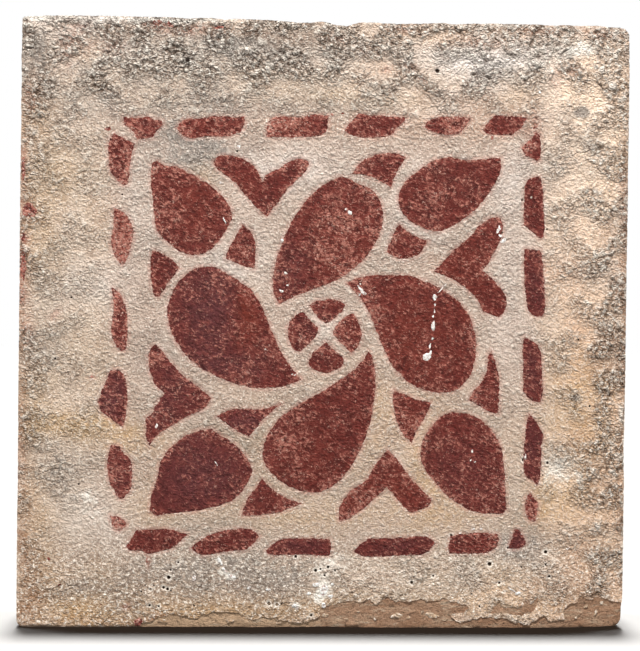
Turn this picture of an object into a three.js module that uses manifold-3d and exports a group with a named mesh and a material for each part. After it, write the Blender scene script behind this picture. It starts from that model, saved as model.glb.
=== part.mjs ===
// A hand-made fired-clay wall tile, standing on its lower edge as it would be shown.
//
// Millimetres, +Z up. X runs along the width, Z up the height and Y through the thickness.
// The decorated face looks towards -Y. The origin is the middle of the tile's depth and width,
// at the lower edge.
//
// The tile is one clay body, a pale ground coat laid over its face, and forty-eight separate
// patches of red slip that were brushed through the openings of a cut stencil.

import * as THREE from 'three';
import * as BufferGeometryUtils from 'three/addons/utils/BufferGeometryUtils.js';
import Module from 'manifold-3d';

const wasm = await Module();
wasm.setup();

// Clay body
const TILE_WIDTH = 200;
const TILE_HEIGHT = 200;
const BODY_THICKNESS = 23;
const BACK_ARRIS = 0.8;
const CORNER_TOP_LEFT = 0.8;
const CORNER_TOP_RIGHT = 3.0;
const CORNER_BOTTOM_RIGHT = 3.0;
const CORNER_BOTTOM_LEFT = 2.4;

// Ground coat
const COAT_THICKNESS = 0.75;
const FRONT_ARRIS = 0.6;

// Red slip, laid through the stencil
const PAINT_THICKNESS = 0.25;
const STENCIL_WIDTH = 146;
const STENCIL_HEIGHT = 146;
const STENCIL_RIGHT_OF_MIDDLE = 0.3;
const STENCIL_BELOW_MIDDLE = 2.5;

// Steps of the round stretches, and the least radius that a corner is drawn in to
const CORNER_STEPS = 5;
const ARRIS_STEPS = 3;
const OUTLINE_STEPS = 3;
const SHARPEST_CORNER = 0.05;

// Planes through the thickness, from the front of the paint to the back of the clay
const TILE_THICKNESS = BODY_THICKNESS + COAT_THICKNESS + PAINT_THICKNESS;
const PAINT_FRONT = -TILE_THICKNESS / 2;
const COAT_FRONT = PAINT_FRONT + PAINT_THICKNESS;
const BODY_FRONT = COAT_FRONT + COAT_THICKNESS;

// Colours of the fired materials
const CLAY_BROWN = 0x8f7560;
const GROUND_CREAM = 0xc4b6a2;
const SLIP_RED = 0x7a3a34;

const clay = new THREE.MeshStandardMaterial({ color: CLAY_BROWN, roughness: 0.95, metalness: 0 });
const ground = new THREE.MeshStandardMaterial({ color: GROUND_CREAM, roughness: 0.85, metalness: 0 });
const slip = new THREE.MeshStandardMaterial({ color: SLIP_RED, roughness: 0.75, metalness: 0 });

// A flat shape is drawn in X and Y, and stood up so that its Y becomes the tile's height
// and its depth runs towards the viewer.
const STAND_UP = new THREE.Matrix4().makeBasis(
  new THREE.Vector3(1, 0, 0),
  new THREE.Vector3(0, 0, 1),
  new THREE.Vector3(0, -1, 0),
);

const tile = new THREE.Group();

function addPiece(name, geometry, material, depth) {
  const piece = new THREE.Mesh(geometry, material);
  piece.name = name;
  piece.position.y = depth;
  tile.add(piece);
}

// The points of the tile's rounded rectangle, drawn in by an inset on every side.
// Each corner gives its sides of the middle, its radius and the angle where its arc starts.
function tileOutline(inset) {
  const corners = [
    { right: 1, up: -1, radius: CORNER_BOTTOM_RIGHT, from: -Math.PI / 2 },
    { right: 1, up: 1, radius: CORNER_TOP_RIGHT, from: 0 },
    { right: -1, up: 1, radius: CORNER_TOP_LEFT, from: Math.PI / 2 },
    { right: -1, up: -1, radius: CORNER_BOTTOM_LEFT, from: Math.PI },
  ];
  const points = [];
  for (const corner of corners) {
    const radius = Math.max(corner.radius - inset, SHARPEST_CORNER);
    const centreX = corner.right * (TILE_WIDTH / 2 - inset - radius);
    const centreZ = TILE_HEIGHT / 2 + corner.up * (TILE_HEIGHT / 2 - inset - radius);
    for (let step = 0; step <= CORNER_STEPS; step += 1) {
      const angle = corner.from + (step / CORNER_STEPS) * (Math.PI / 2);
      points.push([centreX + radius * Math.cos(angle), centreZ + radius * Math.sin(angle)]);
    }
  }
  return points;
}

// A closed slab from a list of rings, each the tile's outline at an inset and a depth.
// The rings run from the front of the slab to its back.
function slab(rings) {
  const positions = [];
  const triangles = [];
  const count = tileOutline(0).length;
  for (const ring of rings) {
    for (const [x, z] of tileOutline(ring.inset)) positions.push(x, ring.depth, z);
  }
  for (let ring = 0; ring + 1 < rings.length; ring += 1) {
    for (let i = 0; i < count; i += 1) {
      const next = (i + 1) % count;
      const a = ring * count + i;
      const b = ring * count + next;
      const c = a + count;
      const d = b + count;
      triangles.push(a, c, b, b, c, d);
    }
  }
  const last = (rings.length - 1) * count;
  for (let i = 1; i + 1 < count; i += 1) {
    triangles.push(0, i, i + 1);
    triangles.push(last, last + i + 1, last + i);
  }
  const geometry = new THREE.BufferGeometry();
  geometry.setAttribute('position', new THREE.Float32BufferAttribute(positions, 3));
  geometry.setIndex(triangles);
  return geometry;
}

// The rings of a quarter-round arris, from the flat face at faceDepth to the side.
function arrisRings(radius, faceDepth, inward) {
  const rings = [];
  for (let step = 0; step <= ARRIS_STEPS; step += 1) {
    const angle = (step / ARRIS_STEPS) * (Math.PI / 2);
    rings.push({
      inset: radius * (1 - Math.sin(angle)),
      depth: faceDepth + inward * radius * (1 - Math.cos(angle)),
    });
  }
  return rings;
}

// An outline is a list of runs. A run starts at a sharp corner and passes smoothly through
// its points to the first point of the next run. A closed outline of one run has one corner.
function outlineShape(runs, place) {
  const points = [];
  runs.forEach((run, index) => {
    const next = runs[(index + 1) % runs.length][0];
    const through = [...run, next].map(([x, z]) => new THREE.Vector3(...place(x, z), 0));
    if (through.length === 2) {
      points.push(through[0]);
      return;
    }
    const curve = new THREE.CatmullRomCurve3(through, false, 'centripetal');
    const steps = OUTLINE_STEPS * (through.length - 1);
    points.push(...curve.getPoints(steps).slice(0, -1));
  });
  return new THREE.Shape(points.map((point) => new THREE.Vector2(point.x, point.y)));
}

function extrudeForward(shape, thickness) {
  const geometry = new THREE.ExtrudeGeometry(shape, { depth: thickness, bevelEnabled: false });
  return geometry.applyMatrix4(STAND_UP);
}

function toSolid(geometry) {
  const bare = geometry.clone();
  bare.deleteAttribute('normal');
  bare.deleteAttribute('uv');
  const merged = BufferGeometryUtils.mergeVertices(bare);
  return new wasm.Manifold(new wasm.Mesh({
    numProp: 3,
    vertProperties: new Float32Array(merged.attributes.position.array),
    triVerts: new Uint32Array(merged.index.array),
  }));
}

function toGeometry(solid) {
  const mesh = solid.getMesh();
  const geometry = new THREE.BufferGeometry();
  geometry.setAttribute('position', new THREE.BufferAttribute(mesh.vertProperties, 3));
  geometry.setIndex(new THREE.BufferAttribute(mesh.triVerts, 1));
  return geometry;
}

// Clay body: a pressed slab with a flat face and a softened back edge.
function clayBody() {
  const back = arrisRings(BACK_ARRIS, BODY_THICKNESS, -1).reverse();
  return slab([{ inset: 0, depth: 0 }, ...back]);
}

// Where the ground coat has flaked off, as seen from the front. The long loss follows the
// lower edge from the left and takes in the wide scalloped bite right of the middle.
const LOSS_ALONG_LOWER_EDGE = [
  [[-64, -1], [-63, 0.8], [-56, 2.2], [-50, 4.6], [-41, 3.2]],
  [[-38.5, 4.9], [-29, 5.1], [-22.5, 2.8]],
  [[-19.5, 3.7], [-11.5, 2.3], [-5, 1.9], [-1, 4]],
  [[-0.8, 6.4], [2.5, 7.5], [8.5, 9.3], [13.3, 8.7]],
  [[15.5, 9.8], [17.7, 8.3]],
  [[21.5, 10.4], [25.5, 9.1], [30, 9], [33, 9.9], [36, 8.8]],
  [[40.5, 9.9], [45, 8.8], [48.4, 6.6]],
  [[47, 5.4], [42.8, 4], [46, 2]],
  [[52.7, 4], [61, 3.1], [66, 1.6], [69.5, 1.9]],
  [[73.5, 4.6], [76.5, 2.4], [80.5, 3.3]],
  [[82, -1]],
];

// A closed window in the coat, above the tongue that is left along the edge.
const LOSS_WINDOW = [
  [[56.3, 5.3], [56.8, 6.8], [58.6, 7.8], [61.7, 6.5], [66.7, 7.3]],
  [[67.3, 8.5], [69, 8.3], [71.6, 9.8]],
  [[71.3, 7], [68, 4.7], [64, 4.7], [60, 5.2]],
];

// The loss at the lower right corner, measured in from that corner.
const LOSS_AT_CORNER = [
  [[-18.6, -1], [-19.8, 4.5], [-19, 7.3]],
  [[-15.3, 9.5], [-14, 11], [-10.7, 9.4]],
  [[-9, 10.9], [-3.3, 9.4], [1, 8]],
  [[1, -1]],
];

// Ground coat: the thin pale skin, with the flaked places cut right through it. Each cutter
// starts one coat behind the skin and ends one coat in front of it.
function groundCoat() {
  const arris = Math.min(FRONT_ARRIS, COAT_THICKNESS);
  const front = arrisRings(arris, -COAT_THICKNESS, 1);
  let coat = toSolid(slab([...front, { inset: 0, depth: 0 }]));
  const losses = [
    { runs: LOSS_ALONG_LOWER_EDGE, fromX: 0 },
    { runs: LOSS_WINDOW, fromX: 0 },
    { runs: LOSS_AT_CORNER, fromX: TILE_WIDTH / 2 },
  ];
  for (const loss of losses) {
    const shape = outlineShape(loss.runs, (x, z) => [x + loss.fromX, z]);
    const cutter = extrudeForward(shape, 3 * COAT_THICKNESS);
    cutter.translate(0, COAT_THICKNESS, 0);
    coat = coat.subtract(toSolid(cutter));
  }
  return toGeometry(coat);
}

// Stencil openings. Each is drawn as it lies on the face, in millimetres from the middle of
// the tile's lower edge, with the small differences of a stencil that was cut by hand.
const STENCIL_DRAWN = { width: 146, height: 146, centreX: 0.3, centreZ: 97.5 };

// The four quarters of the centre disc.
const CENTRE_QUARTERS = {
  top: [
    [[-5.3, 106.3], [-3.5, 107.6], [1, 108.4], [5, 107.7]],
    [[6.7, 106.4], [5, 103.9], [2, 101.3]],
    [[0.4, 100.3], [-1.8, 101.7]],
  ],
  right: [
    [[9, 103.9], [11.2, 101], [12, 97.5], [11.2, 93.3]],
    [[8.8, 90.7], [5.3, 94], [3.3, 96]],
    [[2.5, 97.8], [4.7, 101.2]],
  ],
  bottom: [
    [[0.5, 94.5], [3, 92]],
    [[6.5, 88.8], [5.8, 86.6], [2.3, 84.4], [-2.5, 84.6], [-5, 86.5]],
    [[-5.2, 88.4], [-3.5, 91.3]],
  ],
  left: [
    [[-7.6, 104.3], [-4.7, 101.3]],
    [[-2.3, 99], [-2.9, 96.3], [-5.5, 93.5]],
    [[-8.2, 91], [-10.2, 91.8], [-12.1, 95.3], [-12.3, 99], [-10.3, 102.7]],
  ],
};

// The four large petals, each with its point by the disc, turning the same way round.
const PETALS = {
  top: [[
    [-15.3, 106.5], [-17.2, 111], [-17.1, 118], [-15, 125.3], [-11.3, 134], [-5.7, 142], [1, 147.3],
    [5.2, 148.7], [10, 146.8], [14.7, 144.7], [18.2, 139.5], [18.3, 132], [15.7, 126],
    [9.7, 118.8], [1.7, 113.8], [-8.3, 110],
  ]],
  right: [[
    [6.8, 113.7], [11, 115.8], [18.3, 116.6], [27, 116.5], [34, 114.3], [42.3, 109.5], [46.7, 105],
    [49.5, 98.3], [50.1, 91.7], [47.7, 83], [42.7, 78.5], [35.5, 78.2], [28.3, 81],
    [22.3, 86.7], [18.7, 94], [15.7, 101], [12.3, 107.7],
  ]],
  bottom: [[
    [14.5, 91.7], [16.3, 87.3], [16.9, 80.7], [16.3, 74], [14.9, 66.5], [11, 56.6], [4.7, 48],
    [-1.7, 44.7], [-9.1, 45.8], [-16.5, 50.4], [-19.5, 54.5], [-19.8, 60.5], [-15.5, 68.3],
    [-8.7, 73.6], [-1, 78], [7, 83.3], [11.3, 87],
  ]],
  left: [[
    [-7.6, 82], [-11, 86], [-14.3, 91], [-17, 96.7], [-21, 106], [-25, 111.7], [-30, 115],
    [-36.5, 118.4], [-42.3, 118.2], [-48.3, 113.3], [-51.8, 105], [-50.3, 96.7], [-45, 88.8],
    [-37, 83.3], [-28, 80], [-20, 78.8], [-11.7, 80],
  ]],
};

// The four leaves in the corners of the border.
const CORNER_LEAVES = {
  top_left: [
    [[-57.4, 152.2], [-56.2, 152.9]],
    [[-55.3, 153], [-53, 151.4], [-49.5, 151.2], [-43.5, 148.5], [-38.3, 145.3], [-33, 140.3],
      [-30.8, 135.5], [-32.7, 130.7], [-36.7, 125], [-40.3, 122.7], [-45.7, 122.5],
      [-51.7, 126.3], [-55.7, 130.7], [-56.6, 138], [-57.6, 147]],
  ],
  top_right: [
    [[57.5, 155.8], [57.5, 152], [55.2, 146.5], [50.3, 139.7], [45, 135], [39.7, 132],
      [35.5, 131], [30.7, 132.7], [25.7, 136.2], [23.5, 141], [25.3, 146.7], [31.3, 152],
      [35.5, 154.8], [40.7, 155.7], [45.7, 154.7], [50, 155.2]],
  ],
  bottom_right: [
    [[61, 39.6], [60.3, 46], [59.8, 53.5], [58.6, 60.5], [55.8, 65.5], [51, 69.8], [45, 71.7],
      [39.8, 70.9], [35.6, 67.2], [32.4, 61.5], [32.3, 55], [36.3, 48.9], [41.9, 43.3],
      [48.7, 39.1], [54.7, 38]],
    [[59.5, 38.2]],
  ],
  bottom_left: [
    [[-56.8, 38.3], [-56.4, 43.2], [-54.7, 48.9], [-53.1, 55.2], [-48.9, 60.5], [-43.2, 64.2]],
    [[-36.8, 65.5], [-34.7, 64], [-30.1, 61.2], [-25, 55.9], [-23.4, 51.7], [-25, 47.5],
      [-29.1, 42.5], [-35.1, 40], [-43.2, 38.2], [-50, 37.6]],
    [[-54.9, 36.7]],
  ],
};

// The four forked buds, one in the middle of each side.
const FORKED_BUDS = {
  top: [
    [[-19.8, 135.2], [-22.3, 137.3], [-26.5, 142], [-31.3, 147.2], [-35.3, 150], [-37.2, 152.7],
      [-35.9, 154.5], [-31.5, 155.1], [-27, 153.8], [-23.7, 151.5]],
    [[-20.9, 146.8], [-19.8, 149.2], [-16, 150.9], [-11.7, 153.7], [-8.5, 154.5], [-6, 152.9],
      [-7, 150.2], [-11.8, 145.4], [-15.3, 141], [-17.3, 138]],
  ],
  right: [
    [[35.6, 118], [38.5, 121], [42.3, 125.3], [46.7, 128.8], [50.3, 133], [55.2, 136.3],
      [57.6, 135.5], [58.2, 131.3], [57, 127.3], [54.3, 122]],
    [[51.8, 118.5], [54.8, 116.2], [58.3, 112.2], [60, 108.3], [59, 104.8]],
    [[57.4, 103], [55, 104], [52.2, 105], [50, 109], [45.7, 113], [40.7, 116]],
  ],
  bottom: [
    [[20.9, 59.1], [23, 57.5], [27.8, 51.3], [32.1, 46.4]],
    [[36, 42.5], [34.9, 40.4], [31.7, 39.3], [29.9, 38.1], [26.4, 40.4], [23.4, 43.9]],
    [[20.9, 46.7], [17.8, 43.6], [12.1, 38.6], [8.5, 36.2]],
    [[5.6, 35.1], [5, 37.9], [6.5, 42.3], [8.9, 45.3], [14.6, 49.6], [16.6, 53.5], [19.4, 57.2]],
  ],
  left: [
    [[-37, 75.6], [-38.3, 72.9], [-43.2, 70.1], [-48.9, 67], [-54.5, 63.2]],
    [[-57.3, 59.6], [-58.1, 62], [-58.4, 66]],
    [[-58.4, 68.9], [-56.8, 69.9], [-54.9, 73.3]],
    [[-52.3, 77], [-55.2, 79.5], [-57.4, 85], [-57.9, 89], [-55.9, 92.9], [-53.7, 91.3],
      [-50.3, 87], [-46.3, 82.8], [-41.3, 79.2]],
  ],
};

// The wedges that fill the gaps near the border.
const OUTER_WEDGES = {
  top: [
    [[8.2, 149.6], [10.3, 152.8], [14, 155.3], [19, 156.7], [23.5, 156.6]],
    [[26.3, 155.4], [24.5, 152.9], [22.3, 149]],
    [[21.2, 145.1], [17.7, 147.3], [13.3, 149.1]],
  ],
  right: [
    [[55, 92.4], [56.4, 88.5], [57.6, 83.5], [57.9, 77]],
    [[57.7, 71.2], [55, 71.5], [51.1, 73.8]],
    [[47.6, 75.8], [49.3, 78.8], [52, 82], [53.6, 86], [54, 90.5]],
  ],
  bottom: [
    [[-20.1, 49.1], [-16.2, 45.3], [-12, 42.9]],
    [[-7, 41.1], [-13.3, 38.5], [-20.5, 37]],
    [[-26.9, 36.9], [-25.4, 41.5], [-22.5, 45.8]],
  ],
  left: [
    [[-56.9, 123.8], [-54.5, 123.2], [-51, 121]],
    [[-47.7, 118.3], [-50.3, 114.7], [-52.8, 111]],
    [[-54.4, 108.3], [-56, 109], [-57.2, 114.3], [-57.4, 120]],
  ],
};

// The wedges that fill the gaps nearer the disc.
const INNER_WEDGES = {
  top: [
    [[24.3, 133.5], [26.5, 131.4], [30, 129.2]],
    [[33.8, 128], [31.5, 124.7], [29.5, 122.8], [24, 122]],
    [[20, 124.3], [21.2, 127.8], [22.8, 132]],
  ],
  right: [
    [[22.5, 79], [26, 77.6], [31, 75.6]],
    [[35.2, 74.8], [33.8, 70.8], [31, 66]],
    [[29.1, 61.2], [26.1, 64], [23.8, 68.6], [22.6, 75]],
  ],
  bottom: [
    [[-35.3, 69.5], [-32, 71.4], [-26.9, 72.2], [-20.1, 72.2]],
    [[-13.9, 74], [-17.9, 70.6], [-21.5, 66.9]],
    [[-24.4, 63], [-28.5, 64.7]],
  ],
  left: [
    [[-27.6, 132.6], [-24.4, 129.9], [-23, 125], [-23.2, 121]],
    [[-23.4, 118], [-28.3, 119.3]],
    [[-33, 121.3], [-31.7, 125], [-29.5, 129]],
  ],
};

// The border dashes, six to a side: left to right, or top to bottom.
const BORDER_DASHES = {
  top: [
    [[[-66.6, 167.1], [-63.5, 166.8], [-59, 167.3], [-56.5, 166.5]], [[-54, 166.1]],
      [[-53.6, 164.3], [-55.9, 162.8]], [[-57, 160.5]], [[-62.2, 159.6], [-63.4, 162.3]],
      [[-66.4, 164.4]]],
    [[[-49.5, 163.7], [-46.7, 166.7], [-42.5, 166.9], [-36.5, 167.9], [-31.5, 167.5]],
      [[-27.5, 168], [-27.1, 165.5]], [[-28.4, 162.6], [-33, 161.2], [-39.5, 161.2], [-46, 160.5]]],
    [[[-19.9, 161.3], [-20, 164], [-18.3, 167.5], [-14, 168.2], [-9.5, 167.8], [-4.5, 169]],
      [[0.4, 168.7], [0.2, 165.5], [-0.8, 163]], [[-3.2, 161.7], [-11.7, 161.3]]],
    [[[5.5, 163.5], [7.3, 166.3]], [[10, 169.3], [15, 169.1], [20.3, 168.8]],
      [[26, 168.5], [25.4, 166.9], [22.8, 164.8]], [[21.5, 162.6], [17, 161.7], [10, 161.8]]],
    [[[31.8, 165.6], [33.7, 168], [37.5, 168.9], [42, 169.1]],
      [[47.3, 168.8], [46.3, 166.7], [43.9, 163.9]], [[40.5, 162.8], [37.8, 163], [34.5, 163.8]]],
    [[[51.1, 165.2], [52.8, 167.1]], [[55.2, 169.8], [60, 169.6]], [[66.1, 169.3], [64.3, 166]],
      [[60.8, 163.2], [56, 163.2], [52.5, 163.6]]],
  ],
  right: [
    [[[69, 164.2]], [[70.3, 163.5], [70.6, 159]], [[70.4, 155.3], [69.3, 154.5], [67.7, 155.6]],
      [[65.6, 156.4]], [[64.1, 159.3], [66.3, 161.3]]],
    [[[70.3, 149.9], [71.3, 147], [71.8, 139], [72.2, 132.5]], [[71.9, 130], [70.7, 129.4], [68.5, 130.9]],
      [[65.2, 133.8], [65.2, 141], [65.5, 146.6], [66.8, 148.9]]],
    [[[65.6, 125.7]], [[71, 125.6], [72, 120], [72.4, 113], [72.8, 107]],
      [[72.4, 104.2], [71, 103.4], [68.6, 103.9]], [[66.9, 105.8], [66.2, 111], [65.4, 118]]],
    [[[65.9, 97], [68.2, 95.6]], [[70.6, 93.8], [71.6, 91.5], [72, 85], [72.3, 78]],
      [[71.6, 75.1], [69.5, 75.4], [67, 77]], [[65.7, 78.7], [65.6, 86], [65.4, 93]]],
    [[[67.8, 71.5], [70, 68.9], [71.8, 66.3]], [[72.9, 63.7], [72.2, 61.8], [72.2, 55], [71.7, 50]],
      [[71, 47.6], [69.2, 49.1], [67.1, 50.4]], [[66.2, 52.6], [66.4, 60], [67, 68]]],
    [[[68.7, 45.1], [69.9, 43.3]], [[71.4, 41.7], [71, 38.5]],
      [[70.2, 35.5], [68.5, 35.7], [67.3, 37.6], [66.9, 41.5], [67.3, 44]]],
  ],
  bottom: [
    [[[-64.7, 26.2], [-63, 28.9]], [[-61, 32], [-55.2, 32.4], [-50, 32.3]],
      [[-44.3, 30.8], [-46.5, 28.4], [-49.8, 26.1], [-55, 24.6]],
      [[-57.5, 24.2], [-59.5, 25.2], [-62.5, 25.4]]],
    [[[-43.1, 25.9], [-41.5, 28], [-36.1, 31], [-29, 32.6], [-23.5, 32.4]],
      [[-20.7, 30.1], [-22.9, 27.5]], [[-25.6, 25.6], [-32.6, 25.1], [-39.7, 23.9]]],
    [[[-18.6, 25.4], [-17, 27.3]], [[-13.5, 29.4], [-5, 29.7]], [[2.4, 29.5], [3, 27]],
      [[2.2, 23.9], [-7.3, 24.2], [-17.3, 24.2]]],
    [[[10.3, 25.5], [12.5, 27.8]], [[15, 29.6], [25, 30], [31, 30.5]], [[35, 30.4]],
      [[37.5, 28.3]], [[34.9, 25.3]], [[32.5, 24.2], [25, 24.1], [13.2, 23.8]]],
    [[[42, 30.9], [45.5, 31.2], [52, 31.9]], [[57.8, 31.4], [58.4, 29], [56.5, 26.2]],
      [[55, 25.2], [48, 24.8]], [[42.2, 25], [41.4, 26.6], [42, 28.7]]],
    [[[63.6, 33.1]], [[65.2, 33.1], [66.2, 31]], [[67.5, 28.5], [66, 27], [63.9, 26.6]],
      [[61.4, 26.6], [62.3, 29.3]]],
  ],
  left: [
    [[[-69.8, 161.9], [-66.8, 160.3]], [[-62.8, 158.5], [-63.6, 155.8], [-64.4, 151.5], [-64.6, 147.5]],
      [[-65, 145], [-66.8, 145], [-69.2, 147.2], [-70.9, 149.5], [-71.4, 154], [-71.5, 158.5]]],
    [[[-69.6, 137.6], [-66, 135.7], [-63.5, 132], [-63.1, 128.5], [-64.3, 123]],
      [[-65.1, 120.3], [-66.7, 118.9], [-68.6, 121], [-70.3, 125.5], [-69.7, 131.5]]],
    [[[-69.9, 111.5], [-67.3, 109.6], [-65.7, 106.5], [-64.6, 100.5], [-64.5, 95.5]],
      [[-65, 91], [-66.7, 90.7], [-69, 93.3], [-69.9, 97], [-69.4, 104]]],
    [[[-70, 84.4], [-68, 84.7], [-65.6, 83.2], [-64.5, 78], [-64.5, 72]], [[-65.7, 65.5], [-69, 67.8]],
      [[-73, 70.7], [-73.8, 73.5], [-72.9, 77.5], [-71.2, 81.5]]],
    [[[-69.8, 59.6], [-67.2, 59.8], [-65.2, 57], [-63.2, 55], [-62.6, 50], [-63.1, 45]],
      [[-64.6, 43.6], [-66.2, 42], [-68.5, 44.8], [-70.2, 48.5], [-70.8, 54]]],
    [[[-69.8, 36.9], [-66.8, 36.3]], [[-64, 34], [-64.8, 32.8], [-67.3, 31.8], [-69, 33.6]]],
  ],
};

// Where a point of the drawn stencil falls on the tile's face.
function throughStencil(x, z) {
  return [
    STENCIL_RIGHT_OF_MIDDLE + (x - STENCIL_DRAWN.centreX) * (STENCIL_WIDTH / STENCIL_DRAWN.width),
    TILE_HEIGHT / 2 - STENCIL_BELOW_MIDDLE
      + (z - STENCIL_DRAWN.centreZ) * (STENCIL_HEIGHT / STENCIL_DRAWN.height),
  ];
}

function addPatch(name, runs) {
  const patch = extrudeForward(outlineShape(runs, throughStencil), PAINT_THICKNESS);
  addPiece(name, patch, slip, COAT_FRONT);
}

addPiece('clay_body', clayBody(), clay, BODY_FRONT);
addPiece('ground_coat', groundCoat(), ground, BODY_FRONT);

const PATTERN = {
  centre_quarter: CENTRE_QUARTERS,
  petal: PETALS,
  corner_leaf: CORNER_LEAVES,
  forked_bud: FORKED_BUDS,
  outer_wedge: OUTER_WEDGES,
  inner_wedge: INNER_WEDGES,
};
for (const [motif, places] of Object.entries(PATTERN)) {
  for (const [place, runs] of Object.entries(places)) addPatch(`${motif}_${place}`, runs);
}
for (const [side, dashes] of Object.entries(BORDER_DASHES)) {
  dashes.forEach((runs, index) => addPatch(`border_${side}_${index + 1}`, runs));
}

export default tile;
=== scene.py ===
"""Looks of a hand-made fired-clay tile with a red stencilled whirl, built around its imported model.

The tile's face looks along -Y and its height is +Z. Blender's unit is the metre. Places on the
face are x from the middle and z from the lower edge, in millimetres, and a depth is how far a
point lies behind the foremost plane of the tile.
"""

import math

import bmesh
import bpy
import numpy as np
from mathutils import Matrix, Vector
from mathutils.geometry import delaunay_2d_cdt
from mathutils.kdtree import KDTree


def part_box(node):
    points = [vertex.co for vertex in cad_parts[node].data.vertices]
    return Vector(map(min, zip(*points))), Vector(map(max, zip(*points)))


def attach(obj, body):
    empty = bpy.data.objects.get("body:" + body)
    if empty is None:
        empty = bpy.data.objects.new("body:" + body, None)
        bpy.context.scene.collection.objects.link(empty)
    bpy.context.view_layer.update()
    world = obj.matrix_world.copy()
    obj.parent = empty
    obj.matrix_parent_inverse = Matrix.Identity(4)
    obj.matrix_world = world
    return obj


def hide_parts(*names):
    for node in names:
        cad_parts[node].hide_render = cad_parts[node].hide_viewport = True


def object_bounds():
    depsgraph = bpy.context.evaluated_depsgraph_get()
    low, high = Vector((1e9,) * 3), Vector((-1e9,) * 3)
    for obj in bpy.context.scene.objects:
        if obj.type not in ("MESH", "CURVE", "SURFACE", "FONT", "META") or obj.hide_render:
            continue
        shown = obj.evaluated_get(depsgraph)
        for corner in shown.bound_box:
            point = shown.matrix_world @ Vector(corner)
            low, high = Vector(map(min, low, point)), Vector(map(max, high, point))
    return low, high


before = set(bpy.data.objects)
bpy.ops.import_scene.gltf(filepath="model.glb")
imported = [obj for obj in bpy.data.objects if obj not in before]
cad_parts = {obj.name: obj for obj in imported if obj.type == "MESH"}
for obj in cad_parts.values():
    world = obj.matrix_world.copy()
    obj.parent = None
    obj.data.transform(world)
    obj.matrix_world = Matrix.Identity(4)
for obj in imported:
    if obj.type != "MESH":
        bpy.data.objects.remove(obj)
cad_low, cad_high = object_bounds()

# Camera: a 65 mm lens 0.4 m off, level with the middle of the tile and a little to its left.
# It is rolled by two thirds of a degree, as the photograph is.
camera_data = bpy.data.cameras.new("camera")
camera_data.lens = 65
camera_data.sensor_width = 36
camera = bpy.data.objects.new("camera", camera_data)
bpy.context.scene.collection.objects.link(camera)
CAMERA_PLACE = Vector((-0.0145, -0.3977, 0.1031))
CAMERA_TURN = math.radians(-1.90)
CAMERA_TILT = math.radians(-0.50)
CAMERA_ROLL = math.radians(0.67)
camera.matrix_world = (
    Matrix.Translation(CAMERA_PLACE)
    @ Matrix.Rotation(CAMERA_TURN, 4, "Z")
    @ Matrix.Rotation(math.pi / 2 + CAMERA_TILT, 4, "X")
    @ Matrix.Rotation(CAMERA_ROLL, 4, "Z")
)
bpy.context.scene.camera = camera

# Clay body: a slab of coarse buff-brown clay, pressed in a frame, struck off flat and fired.
# Its four edges are worn and wavy, its back is rough, and its face shows only where the
# ground coat has come off.
MM = 0.001
HALF_WIDTH = cad_high.x / MM
HEIGHT = cad_high.z / MM
FOREMOST = cad_low.y / MM
BACK = cad_high.y / MM
BODY_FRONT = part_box("clay_body")[0].y / MM

TOP_LEFT_RADIUS = 0.8
TOP_RIGHT_RADIUS = 3.0
LOWER_RIGHT_RADIUS = 3.0
LOWER_LEFT_RADIUS = 2.4

# How far wear has drawn each edge in: places along the edge, and depths of wear there.
TOP_WEAR = [
    (-100, 0.9), (-97, 0.6), (-91, 0.2), (-84, 0.1), (-79, 0), (-51, 0), (-46, 0.4), (-42, 0),
    (-38, 0), (-34, 0.5), (-30, 0.1), (-20, 0.3), (-14, 0.7), (-10, 1.0), (-6, 0.9), (-2, 0.4),
    (2, 1.5), (6, 1.9), (10, 0.5), (15, 0.5), (22, 0.8), (30, 0.5), (38, 0.1), (42, 0.6), (46, 0.2),
    (54, 0), (70, 0), (74, 0.4), (78, 0), (83, 0.2), (89, 0), (94, 0.5), (100, 0.7),
]
LEFT_WEAR = [
    (0, 0.2), (6, 0), (36, 0), (42, 0.1), (64, 0.1), (72, 0), (112, 0.05), (122, 0), (150, 0),
    (158, 0.1), (166, 0.2), (170, 0), (180, 0.3), (186, 0), (191, 0.2), (200, 0.2),
]
RIGHT_WEAR = [
    (0, 0.5), (6, 0.3), (12, 0), (50, 0), (58, 0.3), (70, 0.2), (76, 0.1), (84, 0), (124, 0.1),
    (130, 0), (146, 0), (152, 0.1), (160, 0), (184, 0), (190, 0.1), (196, 0.3), (200, 0.5),
]
LOWER_WEAR = [
    (-100, 0.1), (-88, 0.1), (-70, 0), (-66, 0.2), (-60, 0), (-44, 0), (-31, 0.1), (-24, 0),
    (-6, 0.1), (2, 0.3), (10, 0), (50, 0), (60, 0.1), (67, 0), (76, 0.1), (84, 0.3), (90, 0.4),
    (94, 0.6), (100, 0.9),
]
WEAR_REACH = 8.0
EDGE_CRUMBLE = 0.24
SHARP_FROM = math.radians(55)


def bumps(x, z, size, seed):
    """Smooth random bumps between about -1 and 1, size millimetres across."""
    cells = 256
    angle = np.random.default_rng(seed).uniform(0, 2 * math.pi, (cells, cells))
    u, v = np.asarray(x, float) / size, np.asarray(z, float) / size
    i, j = np.floor(u).astype(int), np.floor(v).astype(int)
    s, t = u - i, v - j

    def corner(across, up):
        turn = angle[(i + across) % cells, (j + up) % cells]
        return np.cos(turn) * (s - across) + np.sin(turn) * (t - up)

    ease_s = s * s * s * (s * (6 * s - 15) + 10)
    ease_t = t * t * t * (t * (6 * t - 15) + 10)
    lower = corner(0, 0) * (1 - ease_s) + corner(1, 0) * ease_s
    upper = corner(0, 1) * (1 - ease_s) + corner(1, 1) * ease_s
    return 1.6 * (lower * (1 - ease_t) + upper * ease_t)


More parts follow.
